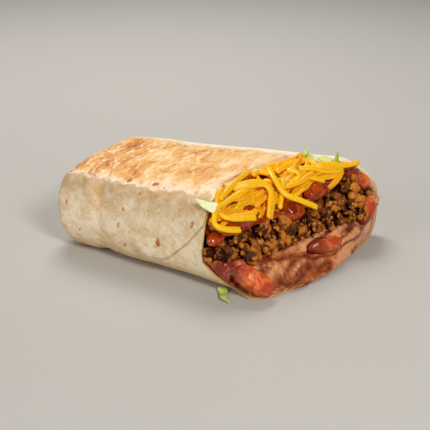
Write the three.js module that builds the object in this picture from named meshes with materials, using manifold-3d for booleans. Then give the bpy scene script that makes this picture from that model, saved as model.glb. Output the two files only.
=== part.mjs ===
// A beef burrito that lies on its flat side: a flour tortilla rolled round its filling, folded shut at
// one end and open at the other. The filling lies in layers: refried beans, ground beef, red sauce,
// grated cheddar and shredded lettuce. They meet the open end in a face that leans back.
// Millimetres. X runs from the closed end to the mouth, Y runs across and Z is up from the table.
import * as THREE from "three";
import { ParametricGeometry } from "three/addons/geometries/ParametricGeometry.js";
import { mergeVertices } from "three/addons/utils/BufferGeometryUtils.js";
import Module from "manifold-3d";

const wasm = await Module();
wasm.setup();

// The roll
const HALF_WIDTH = 31; // at the closed end
const WIDENING = 0.145; // of the half width, for each mm along the roll
const HALF_HEIGHT = 20;
const AXIS_Y = -1;
const AXIS_Z = 19; // less than HALF_HEIGHT, so that the table presses the underside flat
const SQUARENESS = 4.6; // 2 is an ellipse, more is a box with rounder and rounder corners
const SIDE_HALF_ANGLE = THREE.MathUtils.degToRad(27); // of a flat side, seen from the axis
const SIDE_LEAN = 1.2; // the top is this much narrower on each side, and the underside wider
const UNEVENNESS = [0.25, 0.2]; // of two slow waves over the outside
const FAR_RISE = 1.1; // of the far top edge at the mouth
const FLARE = 3; // of the near foot at the mouth, where the sheet spreads on the table
const FLARE_ANGLE = THREE.MathUtils.degToRad(-155);
const FLARE_SPREAD = THREE.MathUtils.degToRad(11);
const FLARE_X = [97, 109]; // it grows from here to here
const END_DEPTH = 8; // the closed end rounds over within this length
const END_POWER = 3.9;
const FOLD_SPAN = 36; // within this length the folded end leans back, least at its middle
const FOLD_TOP = 6.5; // the top of it by this much
const FOLD_FOOT = 11;
const FOLD_FAR = 2;
const SHEET = 2.2; // thickness of the tortilla
const RIM_SHEET = 1; // and at its rim, which it thins to
const RIM_THINNING = 14; // over this length
const EDGE_STEP = 1.6; // the sheet's outer edge stands this far off the turn under it
const SEAM_HEIGHT = 8; // the outer edge runs along the near side at this height
const SEAM_RISE = 21; // and climbs by this much to the mouth
const SEAM_TURN_X = 54; // where it starts to climb
const SEAM_END_X = 86; // the near end of the mouth
const SEAM_CURVE = 2.3; // the climb starts slowly
const CREASE_X = 29; // a shallow upright crease in the near side
const CREASE_HALF_WIDTH = 4;
const CREASE_DEPTH = 1;

// The rim of the open end: how far along the roll it lies at each angle in degrees.
// 90 is up, 0 is the far side, -90 is the table and -180 is the near side.
const RIM = [
  [-183, 85], [-171, 85], [-165, 90.5], [-161, 96], [-157, 108], [-153, 113], [-147, 118], [-140, 121.5],
  [-110, 125], [-60, 127.5], [-34, 129.2], [0, 129.4], [6, 128.2], [10, 126], [14, 121.5], [18, 117],
  [23, 113.5], [27, 107], [31, 99], [35, 94.5], [48, 92], [65, 89.5], [88, 85.2], [104, 83.8],
  [118, 82.7], [133, 82.7], [148, 86], [160, 86], [177, 85],
];

// The leaning face of the filling
const FACE_CENTRE = new THREE.Vector3(112, 0, 20);
const FACE_TURN = THREE.MathUtils.degToRad(-23.5); // towards the near side
const FACE_TILT = THREE.MathUtils.degToRad(42.4); // its normal looks up by this much
const FACE_RELIEF = 0.9;
const CHEESE_HEAP = 3; // the cheese stands out of the face by this much
const RIM_SETBACK = 0.5; // the filling stops this far inside the rim
const BULGE_PAST_RIM = 10; // but on the near side it stands out of the roll by up to this
const BULGE_SPAN = 0.75; // cosine of the angle off the near side where that bulge ends
const HEAP_PAST_RIM = 2.5; // and at the top it comes out under the rim by this much
const HEAP_SPAN = 0.25; // sine of the angle where that ends
const BULGE_SET_BACK = 1.5; // its edge lies this far behind the plane of the face
const BULGE_UNDER_SKIN = 0.6; // and this far inside the outside of the roll
const RIM_CLEAR = 3; // and it swells only this far past the rim
const SPILL = 1.2; // where it sags over the rim on the table it stands out this much further
const SPILL_ANGLE = THREE.MathUtils.degToRad(-159);
const SPILL_SPREAD = THREE.MathUtils.degToRad(9);
const SPILL_FLOOR = 1.8; // and stays this far off the table
const EDGE_ROUNDING = 8; // how quickly the face flattens from its edge inwards

// Heights between the layers, at places across the roll from the near to the far side
const BEAN_TOP = [[-44, 15], [-34, 12.3], [0, 13.8], [20, 15.2], [32, 18], [46, 20]];
const BEEF_TOP = [[-46, 22.2], [-25, 23.5], [-15, 25.6], [-6, 23.2], [8, 24.3], [21, 26], [28, 30.5], [38, 32]];
const SAUCE_DEPTH = 2;
const CHEESE_TOP = [[-46, 41], [-4, 39], [8, 36.6], [20, 34.4], [30, 33.2], [46, 32.6]];
const CHEESE_LEAST = 1; // depth of cheese where the layers come closest
const GAP = 0.3; // between neighbouring pieces
const FILLING_GAP = 1.6; // between the filling and the inside of the roll
const RIM_GAP = 0.9; // and at the rim, but for the near side

// Pieces that show in the face
const CRUMB_RADIUS = [2.4, 3.7];
const CRUMB_ACROSS = [-50, 46]; // from here to here across the face
const CRUMB_FOOT = [-8, -3.5]; // how far up the lowest row lies at either end
const CRUMB_SPACING = 7.5;
const CRUMB_ROWS = 5;
const CRUMB_ROW_HEIGHT = 4.4;
const CRUMB_SCATTER = 2.2;
const CRUMB_FAR_Y = 42.5; // none reaches past this, where the rim is
const SHRED_RADIUS = 1.7; // from its middle to a corner
const SHRED_STEP = 7.5; // length of its straight bits
const LEAF_THICKNESS = 0.8;

// Facets
const ROLL_RAYS = 50; // points round the roll
const CAP_STEPS = 4; // rings where the closed end rounds over
const BEAN_SIDES = 12;
const BLOB_SIDES = 8;

const PAINT = {
  tortilla: { color: 0xe3cfa4, roughness: 0.8 },
  beans: { color: 0xa8664a, roughness: 0.35 },
  wholeBean: { color: 0xb4472a, roughness: 0.3 },
  beef: { color: 0x8a5220, roughness: 0.6 },
  sauce: { color: 0x8c2108, roughness: 0.15 },
  cheese: { color: 0xf5ab12, roughness: 0.4 },
  lettuce: { color: 0xa6cc4a, roughness: 0.45 },
};

// Value at t of a line through [position, value] pairs.
function between(pairs, t) {
  const next = pairs.findIndex(([position]) => position > t);
  if (next === 0) return pairs[0][1];
  if (next < 0) return pairs[pairs.length - 1][1];
  const [p0, v0] = pairs[next - 1];
  const [p1, v1] = pairs[next];
  return THREE.MathUtils.mapLinear(t, p0, p1, v0, v1);
}

// Numbers from 0 to 1 that look random and are the same on every run.
function randomFrom(seed) {
  let state = seed;
  return () => {
    state = (state * 1664525 + 1013904223) % 4294967296;
    return state / 4294967296;
  };
}

// A closed geometry as a solid, whichever way round its faces are wound.
function solidOf(geometry) {
  const bare = geometry.clone();
  bare.deleteAttribute("normal");
  bare.deleteAttribute("uv");
  const merged = mergeVertices(bare, 1e-4);
  const corners = merged.index.array;
  const kept = [];
  for (let i = 0; i < corners.length; i += 3) {
    const [a, b, c] = corners.subarray(i, i + 3);
    if (a !== b && b !== c && c !== a) kept.push(a, b, c);
  }
  const build = (triangles) =>
    new wasm.Manifold(
      new wasm.Mesh({
        numProp: 3,
        vertProperties: merged.attributes.position.array,
        triVerts: Uint32Array.from(triangles),
      }),
    );
  const made = build(kept);
  return made.volume() > 0 ? made : build(kept.reverse());
}

// The largest body of a solid, without the scraps that a cut leaves.
function largestBody(solid) {
  return solid.decompose().reduce((best, body) => (body.volume() > best.volume() ? body : best));
}

function joined(solids) {
  return solids.reduce((all, one) => all.add(one));
}

// A named mesh of a solid, in its own colour.
function meshOf(name, solid, paint) {
  const { vertProperties, triVerts } = solid.getMesh();
  const geometry = new THREE.BufferGeometry();
  geometry.setAttribute("position", new THREE.BufferAttribute(vertProperties, 3));
  geometry.setIndex(new THREE.BufferAttribute(triVerts, 1));
  geometry.computeVertexNormals();
  const mesh = new THREE.Mesh(geometry, new THREE.MeshStandardMaterial({ metalness: 0, ...paint }));
  mesh.name = name;
  return mesh;
}

// A smooth hump round an angle: 1 at the middle, falling off within the spread.
const hump = (angle, middle, spread) => Math.exp((-2 * (1 - Math.cos(angle - middle))) / spread ** 2);

// The roll is a box with rounded corners that widens towards the mouth and leans back round its closed
// end. A point on it is given by how far along it lies, the angle round its axis, and how far it is
// moved outwards. The outside is a little uneven, the inside is not.
function onRoll(x, angle, outwards) {
  const past = Math.min(1, Math.max(0, (x + outwards) / (END_DEPTH + outwards)));
  const roundOver = Math.pow(1 - Math.pow(1 - past, END_POWER), 1 / END_POWER);
  const across = Math.cos(angle);
  const up = Math.sin(angle);
  const fromCrease = (x - CREASE_X) / CREASE_HALF_WIDTH;
  const crease = CREASE_DEPTH * Math.exp(-(fromCrease ** 2)) * Math.max(0, -across) ** 2;
  const uneven =
    UNEVENNESS[0] * Math.sin(x / 13 + 2 * angle) + UNEVENNESS[1] * Math.sin(x / 8 - 3 * angle);
  const flare =
    FLARE * THREE.MathUtils.smoothstep(x, ...FLARE_X) * hump(angle, FLARE_ANGLE, FLARE_SPREAD);
  const out = flare + (outwards < 0 ? outwards : outwards - crease + uneven * past);
  const halfWidth = HALF_WIDTH + WIDENING * x - SIDE_LEAN * up + out;
  const halfHeight = HALF_HEIGHT + out;
  const reach =
    roundOver *
    ((Math.abs(across) / halfWidth) ** SQUARENESS + (Math.abs(up) / halfHeight) ** SQUARENESS) **
      (-1 / SQUARENESS);
  const rise = 2 * FAR_RISE * roundOver * (x / SEAM_END_X) * Math.max(0, across) * Math.max(0, up);
  const z = Math.max(AXIS_Z + reach * up, Math.max(0, -outwards)) + rise;
  const high = (z - AXIS_Z) / HALF_HEIGHT;
  const far = Math.max(0, reach * across) / HALF_WIDTH;
  const leanBack = (high > 0 ? FOLD_TOP : FOLD_FOOT) * high ** 2 + FOLD_FAR * far ** 2;
  const nearEnd = (1 - Math.min(1, x / FOLD_SPAN)) ** 2;
  return new THREE.Vector3(x + nearEnd * leanBack, AXIS_Y + reach * across, z);
}

function rimAt(angle) {
  const degrees = THREE.MathUtils.radToDeg(angle);
  return between(RIM, THREE.MathUtils.euclideanModulo(degrees + 183, 360) - 183);
}

// Where the outer edge of the sheet lies on the near side, as an angle.
function seamAngle(x) {
  const climb = Math.max(0, (x - SEAM_TURN_X) / (SEAM_END_X - SEAM_TURN_X)) ** SEAM_CURVE;
  const height = SEAM_HEIGHT + SEAM_RISE * Math.min(1, climb);
  return Math.PI - Math.atan((height - AXIS_Z) / (HALF_WIDTH + WIDENING * x));
}

// How far back from the rim a place on the roll lies, from 0 at the rim to 1.
const backFromRim = (x, angle) => THREE.MathUtils.clamp((rimAt(angle) - x) / RIM_THINNING, 0, 1);

// How far the inside of the sheet lies under its outside.
const sheetAt = (x, angle) => THREE.MathUtils.lerp(RIM_SHEET, SHEET, backFromRim(x, angle));

// The angle of a ray that starts at the outer edge of the sheet and goes once round the roll, over the
// top first. Only the rays on the flat near side shift with the edge.
function rayAngle(turn, x) {
  const even = Math.PI - turn * 2 * Math.PI;
  const corner = Math.PI - SIDE_HALF_ANGLE;
  if (even > corner) return THREE.MathUtils.mapLinear(even, corner, Math.PI, corner, seamAngle(x));
  if (even > -corner) return even;
  return THREE.MathUtils.mapLinear(even, -corner, -Math.PI, -corner, seamAngle(x) - 2 * Math.PI);
}

// How far along the roll the rings of a skin lie, from its pole: close together where it rounds over
// and closer and closer towards the rim.
function ringAt(step, steps, start, end) {
  const cap = END_DEPTH - start;
  if (step <= CAP_STEPS) return start + cap * (1 - Math.cos((step / CAP_STEPS) * Math.PI * 0.5));
  return THREE.MathUtils.lerp(END_DEPTH, end, ((step - CAP_STEPS) / (steps - CAP_STEPS)) ** 0.6);
}

// How far round a skin one of its points lies. The last point is the first one again.
const turnAt = (u) => (u === 1 ? 0 : (u * ROLL_RAYS) / (ROLL_RAYS - 1));

// The tortilla: one sheet whose skin runs from the pole of the closed end out to the rim, over the
// rim and back along the inside. Round the roll it grows outwards by EDGE_STEP, so its edge shows.
function tortilla() {
  const outerSteps = 16;
  const innerSteps = 11;
  const skin = (u, v, target) => {
    const step = Math.round(v * (outerSteps + innerSteps + 1));
    const turn = turnAt(u);
    const inside = step > outerSteps;
    const ring = inside ? outerSteps + innerSteps + 1 - step : step;
    const steps = inside ? innerSteps : outerSteps;
    const start = inside ? SHEET : 0;
    const seamX = ringAt(ring, steps, start, SEAM_END_X);
    const angle = rayAngle(turn, seamX);
    const x = ringAt(ring, steps, start, rimAt(angle));
    const growth = EDGE_STEP * (1 - turn) * Math.min(1, seamX / END_DEPTH);
    target.copy(onRoll(x, angle, inside ? -sheetAt(x, angle) : growth));
  };
  return solidOf(new ParametricGeometry(skin, ROLL_RAYS, outerSteps + innerSteps + 1));
}

const faceNormal = new THREE.Vector3(
  Math.cos(FACE_TILT) * Math.cos(FACE_TURN),
  Math.cos(FACE_TILT) * Math.sin(FACE_TURN),
  Math.sin(FACE_TILT),
);
const faceAcross = new THREE.Vector3(-faceNormal.y, faceNormal.x, 0).normalize();
const faceUp = new THREE.Vector3().crossVectors(faceNormal, faceAcross);

// A point of the leaning face: across it, up it, and lifted off it.
function onFace(across, up, lift) {
  return FACE_CENTRE.clone()
    .addScaledVector(faceAcross, across)
    .addScaledVector(faceUp, up)
    .addScaledVector(faceNormal, lift);
}

function liftOf(point) {
  return point.clone().sub(FACE_CENTRE).dot(faceNormal);
}

// All of the filling as one body: it fills the roll, stands out past the near side of the rim, and
// ends in the leaning face, which meets the rim in a curve.
function filling() {
  const rollSteps = 11;
  const faceSteps = 5;
  const onNearSide = (angle) => -Math.cos(angle) > BULGE_SPAN;
  const insetAt = (x, angle) => {
    const atRim = onNearSide(angle) ? FILLING_GAP : RIM_GAP;
    return -(sheetAt(x, angle) + THREE.MathUtils.lerp(atRim, FILLING_GAP, backFromRim(x, angle)));
  };
  const bulgeAt = (angle) => SPILL * hump(angle, SPILL_ANGLE, SPILL_SPREAD) - BULGE_UNDER_SKIN;
  const pastRim = (angle) => {
    if (onNearSide(angle)) return BULGE_PAST_RIM;
    return Math.sin(angle) > HEAP_SPAN ? HEAP_PAST_RIM : -RIM_SETBACK;
  };
  const edgeAt = (angle) => {
    const rim = rimAt(angle);
    const atRim = onRoll(rim, angle, insetAt(rim, angle));
    const toFace = -liftOf(atRim) / faceNormal.x - BULGE_SET_BACK;
    return rim + THREE.MathUtils.clamp(toFace, -RIM_SETBACK, pastRim(angle));
  };
  const skin = (u, v, target) => {
    const step = Math.round(v * (rollSteps + 3 + faceSteps));
    const start = SHEET + FILLING_GAP;
    const seamX = ringAt(Math.min(step, rollSteps), rollSteps, start, SEAM_END_X);
    const angle = rayAngle(turnAt(u), seamX);
    const rim = rimAt(angle);
    const edge = edgeAt(angle);
    const inner = Math.min(edge, rim + RIM_CLEAR);
    if (step <= rollSteps) {
      const x = ringAt(step, rollSteps, start, inner);
      target.copy(onRoll(x, angle, insetAt(x, angle)));
      return;
    }
    const outside = edge > rim + RIM_CLEAR ? bulgeAt(angle) : insetAt(edge, angle);
    if (step === rollSteps + 1) {
      target.copy(onRoll(Math.min(edge, rim + 2 * RIM_CLEAR), angle, outside));
      target.z = Math.max(target.z, SPILL_FLOOR);
      return;
    }
    const rimPoint = onRoll(edge, angle, outside);
    rimPoint.z = Math.max(rimPoint.z, SPILL_FLOOR);
    const share = (step - rollSteps - 2) / (faceSteps + 1);
    const fromRim = Math.min(1, 4 * share);
    const flat = rimPoint.clone().addScaledVector(faceNormal, -liftOf(rimPoint));
    const across = flat.clone().sub(FACE_CENTRE).dot(faceAcross) * (1 - share);
    const up = flat.clone().sub(FACE_CENTRE).dot(faceUp) * (1 - share);
    const relief = 0.5 * (Math.sin(across / 3.1 + up / 2.3) + Math.sin(across / 5.3 - up / 1.9 + 1));
    const heap = THREE.MathUtils.smoothstep(up - 0.1 * across, 4, 11);
    const lift = liftOf(rimPoint) * (1 - share) ** EDGE_ROUNDING;
    target.copy(onFace(across, up, lift + fromRim * (FACE_RELIEF * relief + CHEESE_HEAP * heap)));
  };
  return solidOf(new ParametricGeometry(skin, ROLL_RAYS, rollSteps + 3 + faceSteps));
}

// A solid between two faces that are split into triangles alike. placeAt gives the point at u and v,
// from 0 to 1 each way, on the lower face or the upper one.
function sheet(columns, rows, placeAt) {
  const plane = new THREE.PlaneGeometry(1, 1, columns, rows);
  const { uv, position } = plane.attributes;
  const count = position.count;
  const points = [];
  for (const isUpper of [false, true]) {
    for (let i = 0; i < count; i++) points.push(...placeAt(uv.getX(i), uv.getY(i), isUpper).toArray());
  }
  const upper = Array.from(plane.index.array, (corner) => corner + count);
  const lower = Array.from(plane.index.array).reverse();
  const rim = [];
  for (let i = 0; i < columns; i++) rim.push(i);
  for (let j = 0; j < rows; j++) rim.push(j * (columns + 1) + columns);
  for (let i = columns; i > 0; i--) rim.push(rows * (columns + 1) + i);
  for (let j = rows; j > 0; j--) rim.push(j * (columns + 1));
  const walls = rim.flatMap((corner, i) => {
    const next = rim[(i + 1) % rim.length];
    return [corner, next + count, next, corner, corner + count, next + count];
  });
  const geometry = new THREE.BufferGeometry();
  geometry.setAttribute("position", new THREE.Float32BufferAttribute(points, 3));
  geometry.setIndex([...upper, ...lower, ...walls]);
  return solidOf(geometry);
}

// A thick sheet that reaches past the food on all sides, from one height to another at each place.
function layer(bottomAt, topAt) {
  return sheet(4, 12, (u, v, isUpper) => {
    const x = THREE.MathUtils.lerp(150, -20, u * (0.4 + 0.6 * u));
    const y = THREE.MathUtils.lerp(60, -60, v);
    return new THREE.Vector3(x, y, isUpper ? topAt(x, y) : bottomAt(x, y));
  });
}

const wave = (x, y) => 0.7 * Math.sin(x / 9 + y / 14) + 0.5 * Math.sin(y / 6 - x / 21);
const below = () => -30;
const above = () => 90;
const beanTop = (x, y) => between(BEAN_TOP, y) + wave(x, y);
const beefTop = (x, y) => between(BEEF_TOP, y) + wave(x + 30, y);
const sauceTop = (x, y) => beefTop(x, y) + SAUCE_DEPTH;
const cheeseTop = (x, y) =>
  Math.max(between(CHEESE_TOP, y) + 0.5 * wave(x + 60, y), sauceTop(x, y) + CHEESE_LEAST);
const raised = (heightAt, by) => (x, y) => heightAt(x, y) + by;

// An oval lump on the face, with half sizes across, up and out of it, and turned in its plane.
function lump(place, halfSizes, turn, grow, sides) {
  const [across, up, lift] = place;
  const geometry = new THREE.SphereGeometry(1, sides, Math.round(sides * 0.6));
  geometry.scale(halfSizes[0] + grow, halfSizes[1] + grow, halfSizes[2] + grow);
  geometry.rotateZ(turn);
  geometry.applyMatrix4(new THREE.Matrix4().makeBasis(faceAcross, faceUp, faceNormal));
  geometry.translate(...onFace(across, up, lift).toArray());
  return solidOf(geometry);
}

// Whole beans lie half sunk in the refried ones: place on the face, length, thickness and turn.
const WHOLE_BEANS = [
  { place: [-41.2, -18, 2.2], size: [9.8, 5.2, 5], turn: -0.9 },
  { place: [4.9, -13.1, -0.5], size: [10.6, 3.6, 4.2], turn: -0.08 },
  { place: [37.2, -4.3, -0.5], size: [8, 4.5, 4.4], turn: 0.62 },
  { place: [40.4, 11.2, 0.6], size: [7.6, 4.2, 4.2], turn: -0.65 },
];
const bean = ({ place, size, turn }, grow) => lump(place, size, turn, grow, BEAN_SIDES);

// Blobs of red sauce that have run out over the beef.
const SAUCE_BLOBS = [
  { place: [-47.6, 4.6, -1.4], size: [5.2, 3.2, 2.8], turn: 0.2 },
  { place: [-35.6, 7.1, 0.6], size: [9.4, 3, 3], turn: 0.1 },
  { place: [-29, 12, 0.8], size: [6.2, 2.8, 3], turn: 0.2 },
  { place: [-3.8, 6.2, 1], size: [6.8, 5.5, 3.6], turn: 0.2 },
  { place: [1.2, 14.6, 1], size: [4.2, 2.8, 3], turn: 0.2 },
  { place: [12.8, 11.2, 1], size: [8, 4.4, 3.4], turn: 0.15 },
  { place: [24.2, 16.2, 0.4], size: [5, 2.6, 2.8], turn: 0 },
];
const blob = ({ place, size, turn }, grow) => lump(place, size, turn, grow, BLOB_SIDES);
const sauceBlobs = (grow) => joined(SAUCE_BLOBS.map((one) => blob(one, grow)));

// Beef crumbs: knobbly lumps spread over the face of the beef in staggered rows.
function crumbs() {
  const random = randomFrom(7);
  const scatter = () => (random() - 0.5) * CRUMB_SCATTER;
  const [first, last] = CRUMB_ACROSS;
  const made = [];
  for (let row = 0; row < CRUMB_ROWS; row++) {
    for (let across = first; across < last; across += CRUMB_SPACING) {
      const foot = THREE.MathUtils.mapLinear(across, first, last, ...CRUMB_FOOT);
      const place = onFace(
        across + (row % 2) * 0.5 * CRUMB_SPACING + scatter(),
        foot + row * CRUMB_ROW_HEIGHT + scatter(),
        random() - 0.4,
      );
      const radius = THREE.MathUtils.lerp(...CRUMB_RADIUS, random());
      const inBlob = SAUCE_BLOBS.some(
        ({ place: [a, u, l], size }) => onFace(a, u, l).distanceTo(place) < size[1] - 0.5,
      );
      const geometry = mergeVertices(
        new THREE.IcosahedronGeometry(radius).deleteAttribute("normal").deleteAttribute("uv"),
      );
      const points = geometry.attributes.position;
      for (let i = 0; i < points.count; i++) {
        const knob = 0.8 + 0.5 * random();
        points.setXYZ(i, points.getX(i) * knob, points.getY(i) * knob, points.getZ(i) * knob);
      }
      geometry.translate(place.x, place.y, place.z);
      const inBand = place.z > beanTop(place.x, place.y) && place.z < beefTop(place.x, place.y) + 1;
      if (inBand && !inBlob && place.y + radius < CRUMB_FAR_Y) made.push(solidOf(geometry));
    }
  }
  return joined(made);
}

// Grated cheddar that hangs out over the face. Each route is [across, up, lift] on the face.
const SHREDS = [
  [[-37, 17.2, 3], [-43.6, 15.8, 4.6], [-48.7, 9.8, 5], [-45.6, 6.1, 5], [-37.3, 3.7, 4.4]],
  [[-43.4, 13.8, 4], [-42.7, 10.8, 5.4], [-37, 8.2, 5.4], [-27.2, 6.7, 4.8]],
  [[-39.1, 12, 3.4], [-34.6, 9.6, 4.6], [-25, 9.2, 4.6]],
  [[-46.2, 15.1, 5.4], [-39.7, 16.7, 5], [-25.2, 19.8, 4.4], [-18.5, 20.4, 3.4]],
  [[-41.5, 18.7, 5.4], [-37.6, 20.5, 5], [-27.3, 24.9, 3.3], [-13.7, 29.9, -2.2]],
  [[-31, 22, 3], [-24.5, 21.8, 5], [-16.4, 20, 6], [-14.5, 15.4, 6], [-17.3, 10, 5.4], [-20.7, 4.3, 4.2]],
  [[-3.9, 28.5, -0.7], [-8.9, 20.2, 5.4], [-8.6, 12.8, 6.6], [-2.2, 7.9, 6.4], [6.1, 4.5, 5.6]],
  [[-3.9, 19.7, 5], [-7.5, 15, 5.2], [-13.2, 7.2, 4.2]],
  [[-7.9, 17.2, 3], [-2.9, 15.9, 5], [4.7, 16.3, 5], [14.9, 19.2, 4]],
  [[-16.1, 26.5, 1.5], [-3.9, 28.5, -0.7], [7.5, 28.9, -1.1], [20.5, 30.4, -2.7]],
  [[-4.2, 24.4, 3], [6.4, 26.3, 1.7], [15.9, 26, 2], [18.7, 20.9, 5], [32.3, 16.9, 4]],
  [[20.4, 22.5, 3.2], [31, 18.6, 4.6], [37.9, 17.3, 4.8], [42.7, 17.8, 4.6]],
  [[7.8, 22.6, 3.4], [14.9, 21.1, 4.4], [22.5, 17.2, 4.4], [30.7, 16.1, 3.8]],
  [[1.1, 23.6, 3.4], [4.8, 21.3, 4.8], [4.3, 18.2, 5], [-2.1, 17.2, 4.2]],
  [[8.2, 19, 3.2], [12.1, 16.6, 4.4], [18.5, 13.3, 4]],
  [[-30.4, 17.9, 2], [-24, 14, 2.6], [-14.7, 14.1, 2.6]],
];

// One shred: a four-sided strip along its route.
function shred(route, grow) {
  const side = SHRED_RADIUS + grow;
  const outline = new THREE.Shape();
  for (let corner = 0; corner < 4; corner++) {
    const turn = ((corner + 0.5) / 4) * 2 * Math.PI;
    const [x, y] = [side * Math.cos(turn), side * Math.sin(turn)];
    if (corner === 0) outline.moveTo(x, y);
    else outline.lineTo(x, y);
  }
  const path = new THREE.CatmullRomCurve3(route.map((point) => onFace(...point)));
  const steps = Math.max(4, Math.round(path.getLength() / SHRED_STEP));
  return solidOf(new THREE.ExtrudeGeometry(outline, { extrudePath: path, steps, bevelEnabled: false }));
}
const shreds = (grow) => joined(SHREDS.map((route) => shred(route, grow)));

// A strip of lettuce: a thin wavy blade along its route that narrows to its tip.
function leaf({ route, width, facing, ruffle }) {
  const path = new THREE.CatmullRomCurve3(route.map((point) => new THREE.Vector3(...point)));
  const normal = new THREE.Vector3(...facing).normalize();
  return sheet(6, 2, (along, v, isUpper) => {
    const off = v - 0.5;
    const sideways = new THREE.Vector3().crossVectors(normal, path.getTangent(along)).normalize();
    const spread = off * width * Math.sqrt(Math.max(0.02, 1 - along ** 2));
    const wavy = ruffle * Math.sin(9 * along + 5 * off) * Math.abs(off) * 2;
    return path
      .getPoint(along)
      .addScaledVector(sideways, spread)
      .addScaledVector(normal, wavy + (isUpper ? LEAF_THICKNESS : 0));
  });
}

// Tips of the lettuce that stand out of its layer at the mouth. Their routes are in x, y and z.
const LETTUCE_TIPS = [
  {
    route: [[99.8, 24.6, 33.5], [100.5, 26.8, 38.8], [101.3, 27.8, 42], [99.8, 28.6, 44.4]],
    width: 2.4,
    facing: [0.5, -0.8, 0.2],
    ruffle: 0.2,
  },
  {
    route: [[98.8, 25, 35.5], [102.6, 28.8, 37.2], [108.4, 28.8, 36.8]],
    width: 5.4,
    facing: [0.3, -0.7, 0.6],
    ruffle: 0.5,
  },
  {
    route: [[105, 29.5, 34.6], [109, 31.8, 36.4], [113.4, 33.6, 35]],
    width: 4.6,
    facing: [0.4, -0.7, 0.6],
    ruffle: 0.8,
  },
  {
    route: [[112, 30.5, 33], [113.4, 33, 37.6], [114.5, 32.8, 43]],
    width: 3.6,
    facing: [0.5, -0.8, 0.2],
    ruffle: 0.3,
  },
];

// Strips that lie clear of the layer: one at each upper corner of the mouth, and one on the table.
const LOOSE_LETTUCE = {
  lettuce_left_tip: {
    route: [[89.3, -42, 36.9], [85.4, -42.8, 37.8], [81.2, -42.6, 39.4]],
    width: 4.6,
    facing: [0.3, -0.6, 0.7],
    ruffle: 0.3,
  },
  lettuce_right_tip: {
    route: [[121.1, 43.4, 32.2], [121.6, 43.9, 33], [121.9, 44.1, 34.2]],
    width: 3,
    facing: [0.6, -0.6, 0.4],
    ruffle: 0.2,
  },
  lettuce_foot: {
    route: [[92.6, -41.4, 0.5], [94.7, -44.8, 0.6], [97.3, -50.2, 0.6], [102, -53.2, 0.6]],
    width: 4.4,
    facing: [0, 0, 1],
    ruffle: 0.25,
  },
};

const roll = tortilla();
const allFilling = filling();
const inLayer = (bottomAt, topAt) => allFilling.intersect(layer(bottomAt, topAt));

const strips = shreds(0);
const roundStrips = shreds(GAP);
const blobs = sauceBlobs(0);
const roundBlobs = sauceBlobs(GAP);
const wholeBeans = WHOLE_BEANS.map((one) => bean(one, 0));
const roundBeans = joined(WHOLE_BEANS.map((one) => bean(one, GAP)));

const refried = largestBody(inLayer(below, raised(beanTop, -GAP / 2)).subtract(roundBeans));
const beefBand = layer(raised(beanTop, GAP / 2), raised(beefTop, -GAP / 2));
const roundPieces = joined([roundBlobs, roundStrips, roundBeans]);
const beef = largestBody(allFilling.add(crumbs()).intersect(beefBand).subtract(roundPieces));
const sauceLayer = inLayer(raised(beefTop, GAP / 2), raised(sauceTop, -GAP / 2));
const sauce = largestBody(sauceLayer.add(blobs).subtract(roundStrips).subtract(roundBeans));
const cheeseLayer = inLayer(raised(sauceTop, GAP / 2), raised(cheeseTop, -GAP / 2));
const cheese = largestBody(cheeseLayer.subtract(roundBlobs).add(strips));
const lettuceSpace = layer(raised(cheeseTop, GAP / 2), above);
const leaves = joined([allFilling, ...LETTUCE_TIPS.map(leaf)]);
const lettuce = largestBody(leaves.intersect(lettuceSpace).subtract(roundPieces));

const food = new THREE.Group();
food.add(meshOf("tortilla", roll, PAINT.tortilla));
food.add(meshOf("refried_beans", refried, PAINT.beans));
wholeBeans.forEach((one, i) => food.add(meshOf(`whole_bean_${i + 1}`, one, PAINT.wholeBean)));
food.add(meshOf("ground_beef", beef, PAINT.beef));
food.add(meshOf("red_sauce", sauce, PAINT.sauce));
food.add(meshOf("cheddar", cheese, PAINT.cheese));
food.add(meshOf("lettuce", lettuce, PAINT.lettuce));
for (const [name, strip] of Object.entries(LOOSE_LETTUCE)) {
  food.add(meshOf(name, leaf(strip), PAINT.lettuce));
}

// The part's origin is under the middle of the whole burrito, on the table.
const box = new THREE.Box3().setFromObject(food);
food.position.set(-(box.min.x + box.max.x) / 2, -(box.min.y + box.max.y) / 2, -box.min.z);
const burrito = new THREE.Group();
burrito.name = "burrito";
burrito.add(food);

export default burrito;
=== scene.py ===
# A beef burrito that lies on its flattened side: a griddled flour tortilla folded shut at one end
# and open at the other. Its layers of refried beans, ground beef, red sauce, grated cheddar and
# lettuce show at the open end, in a face that leans back.
# Lengths are in millimetres until a point is placed. X runs along the roll to the open end, Y runs
# across it and away from the viewer, and Z is up from the table.
import math

import bpy
import numpy as np
from mathutils import Matrix, Vector, noise
from mathutils.bvhtree import BVHTree


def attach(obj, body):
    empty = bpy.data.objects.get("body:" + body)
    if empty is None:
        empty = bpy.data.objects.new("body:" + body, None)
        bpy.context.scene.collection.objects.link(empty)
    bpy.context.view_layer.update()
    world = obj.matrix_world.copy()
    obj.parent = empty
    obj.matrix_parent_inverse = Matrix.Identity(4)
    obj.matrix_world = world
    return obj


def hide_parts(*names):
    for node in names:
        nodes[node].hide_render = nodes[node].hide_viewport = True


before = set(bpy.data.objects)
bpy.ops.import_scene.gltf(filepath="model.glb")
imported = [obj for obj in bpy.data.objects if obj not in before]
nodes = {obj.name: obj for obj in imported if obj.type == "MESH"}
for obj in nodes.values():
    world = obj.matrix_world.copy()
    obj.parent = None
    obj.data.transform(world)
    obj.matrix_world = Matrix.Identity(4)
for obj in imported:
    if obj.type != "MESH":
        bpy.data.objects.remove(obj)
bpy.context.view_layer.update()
MM = 0.001


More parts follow.
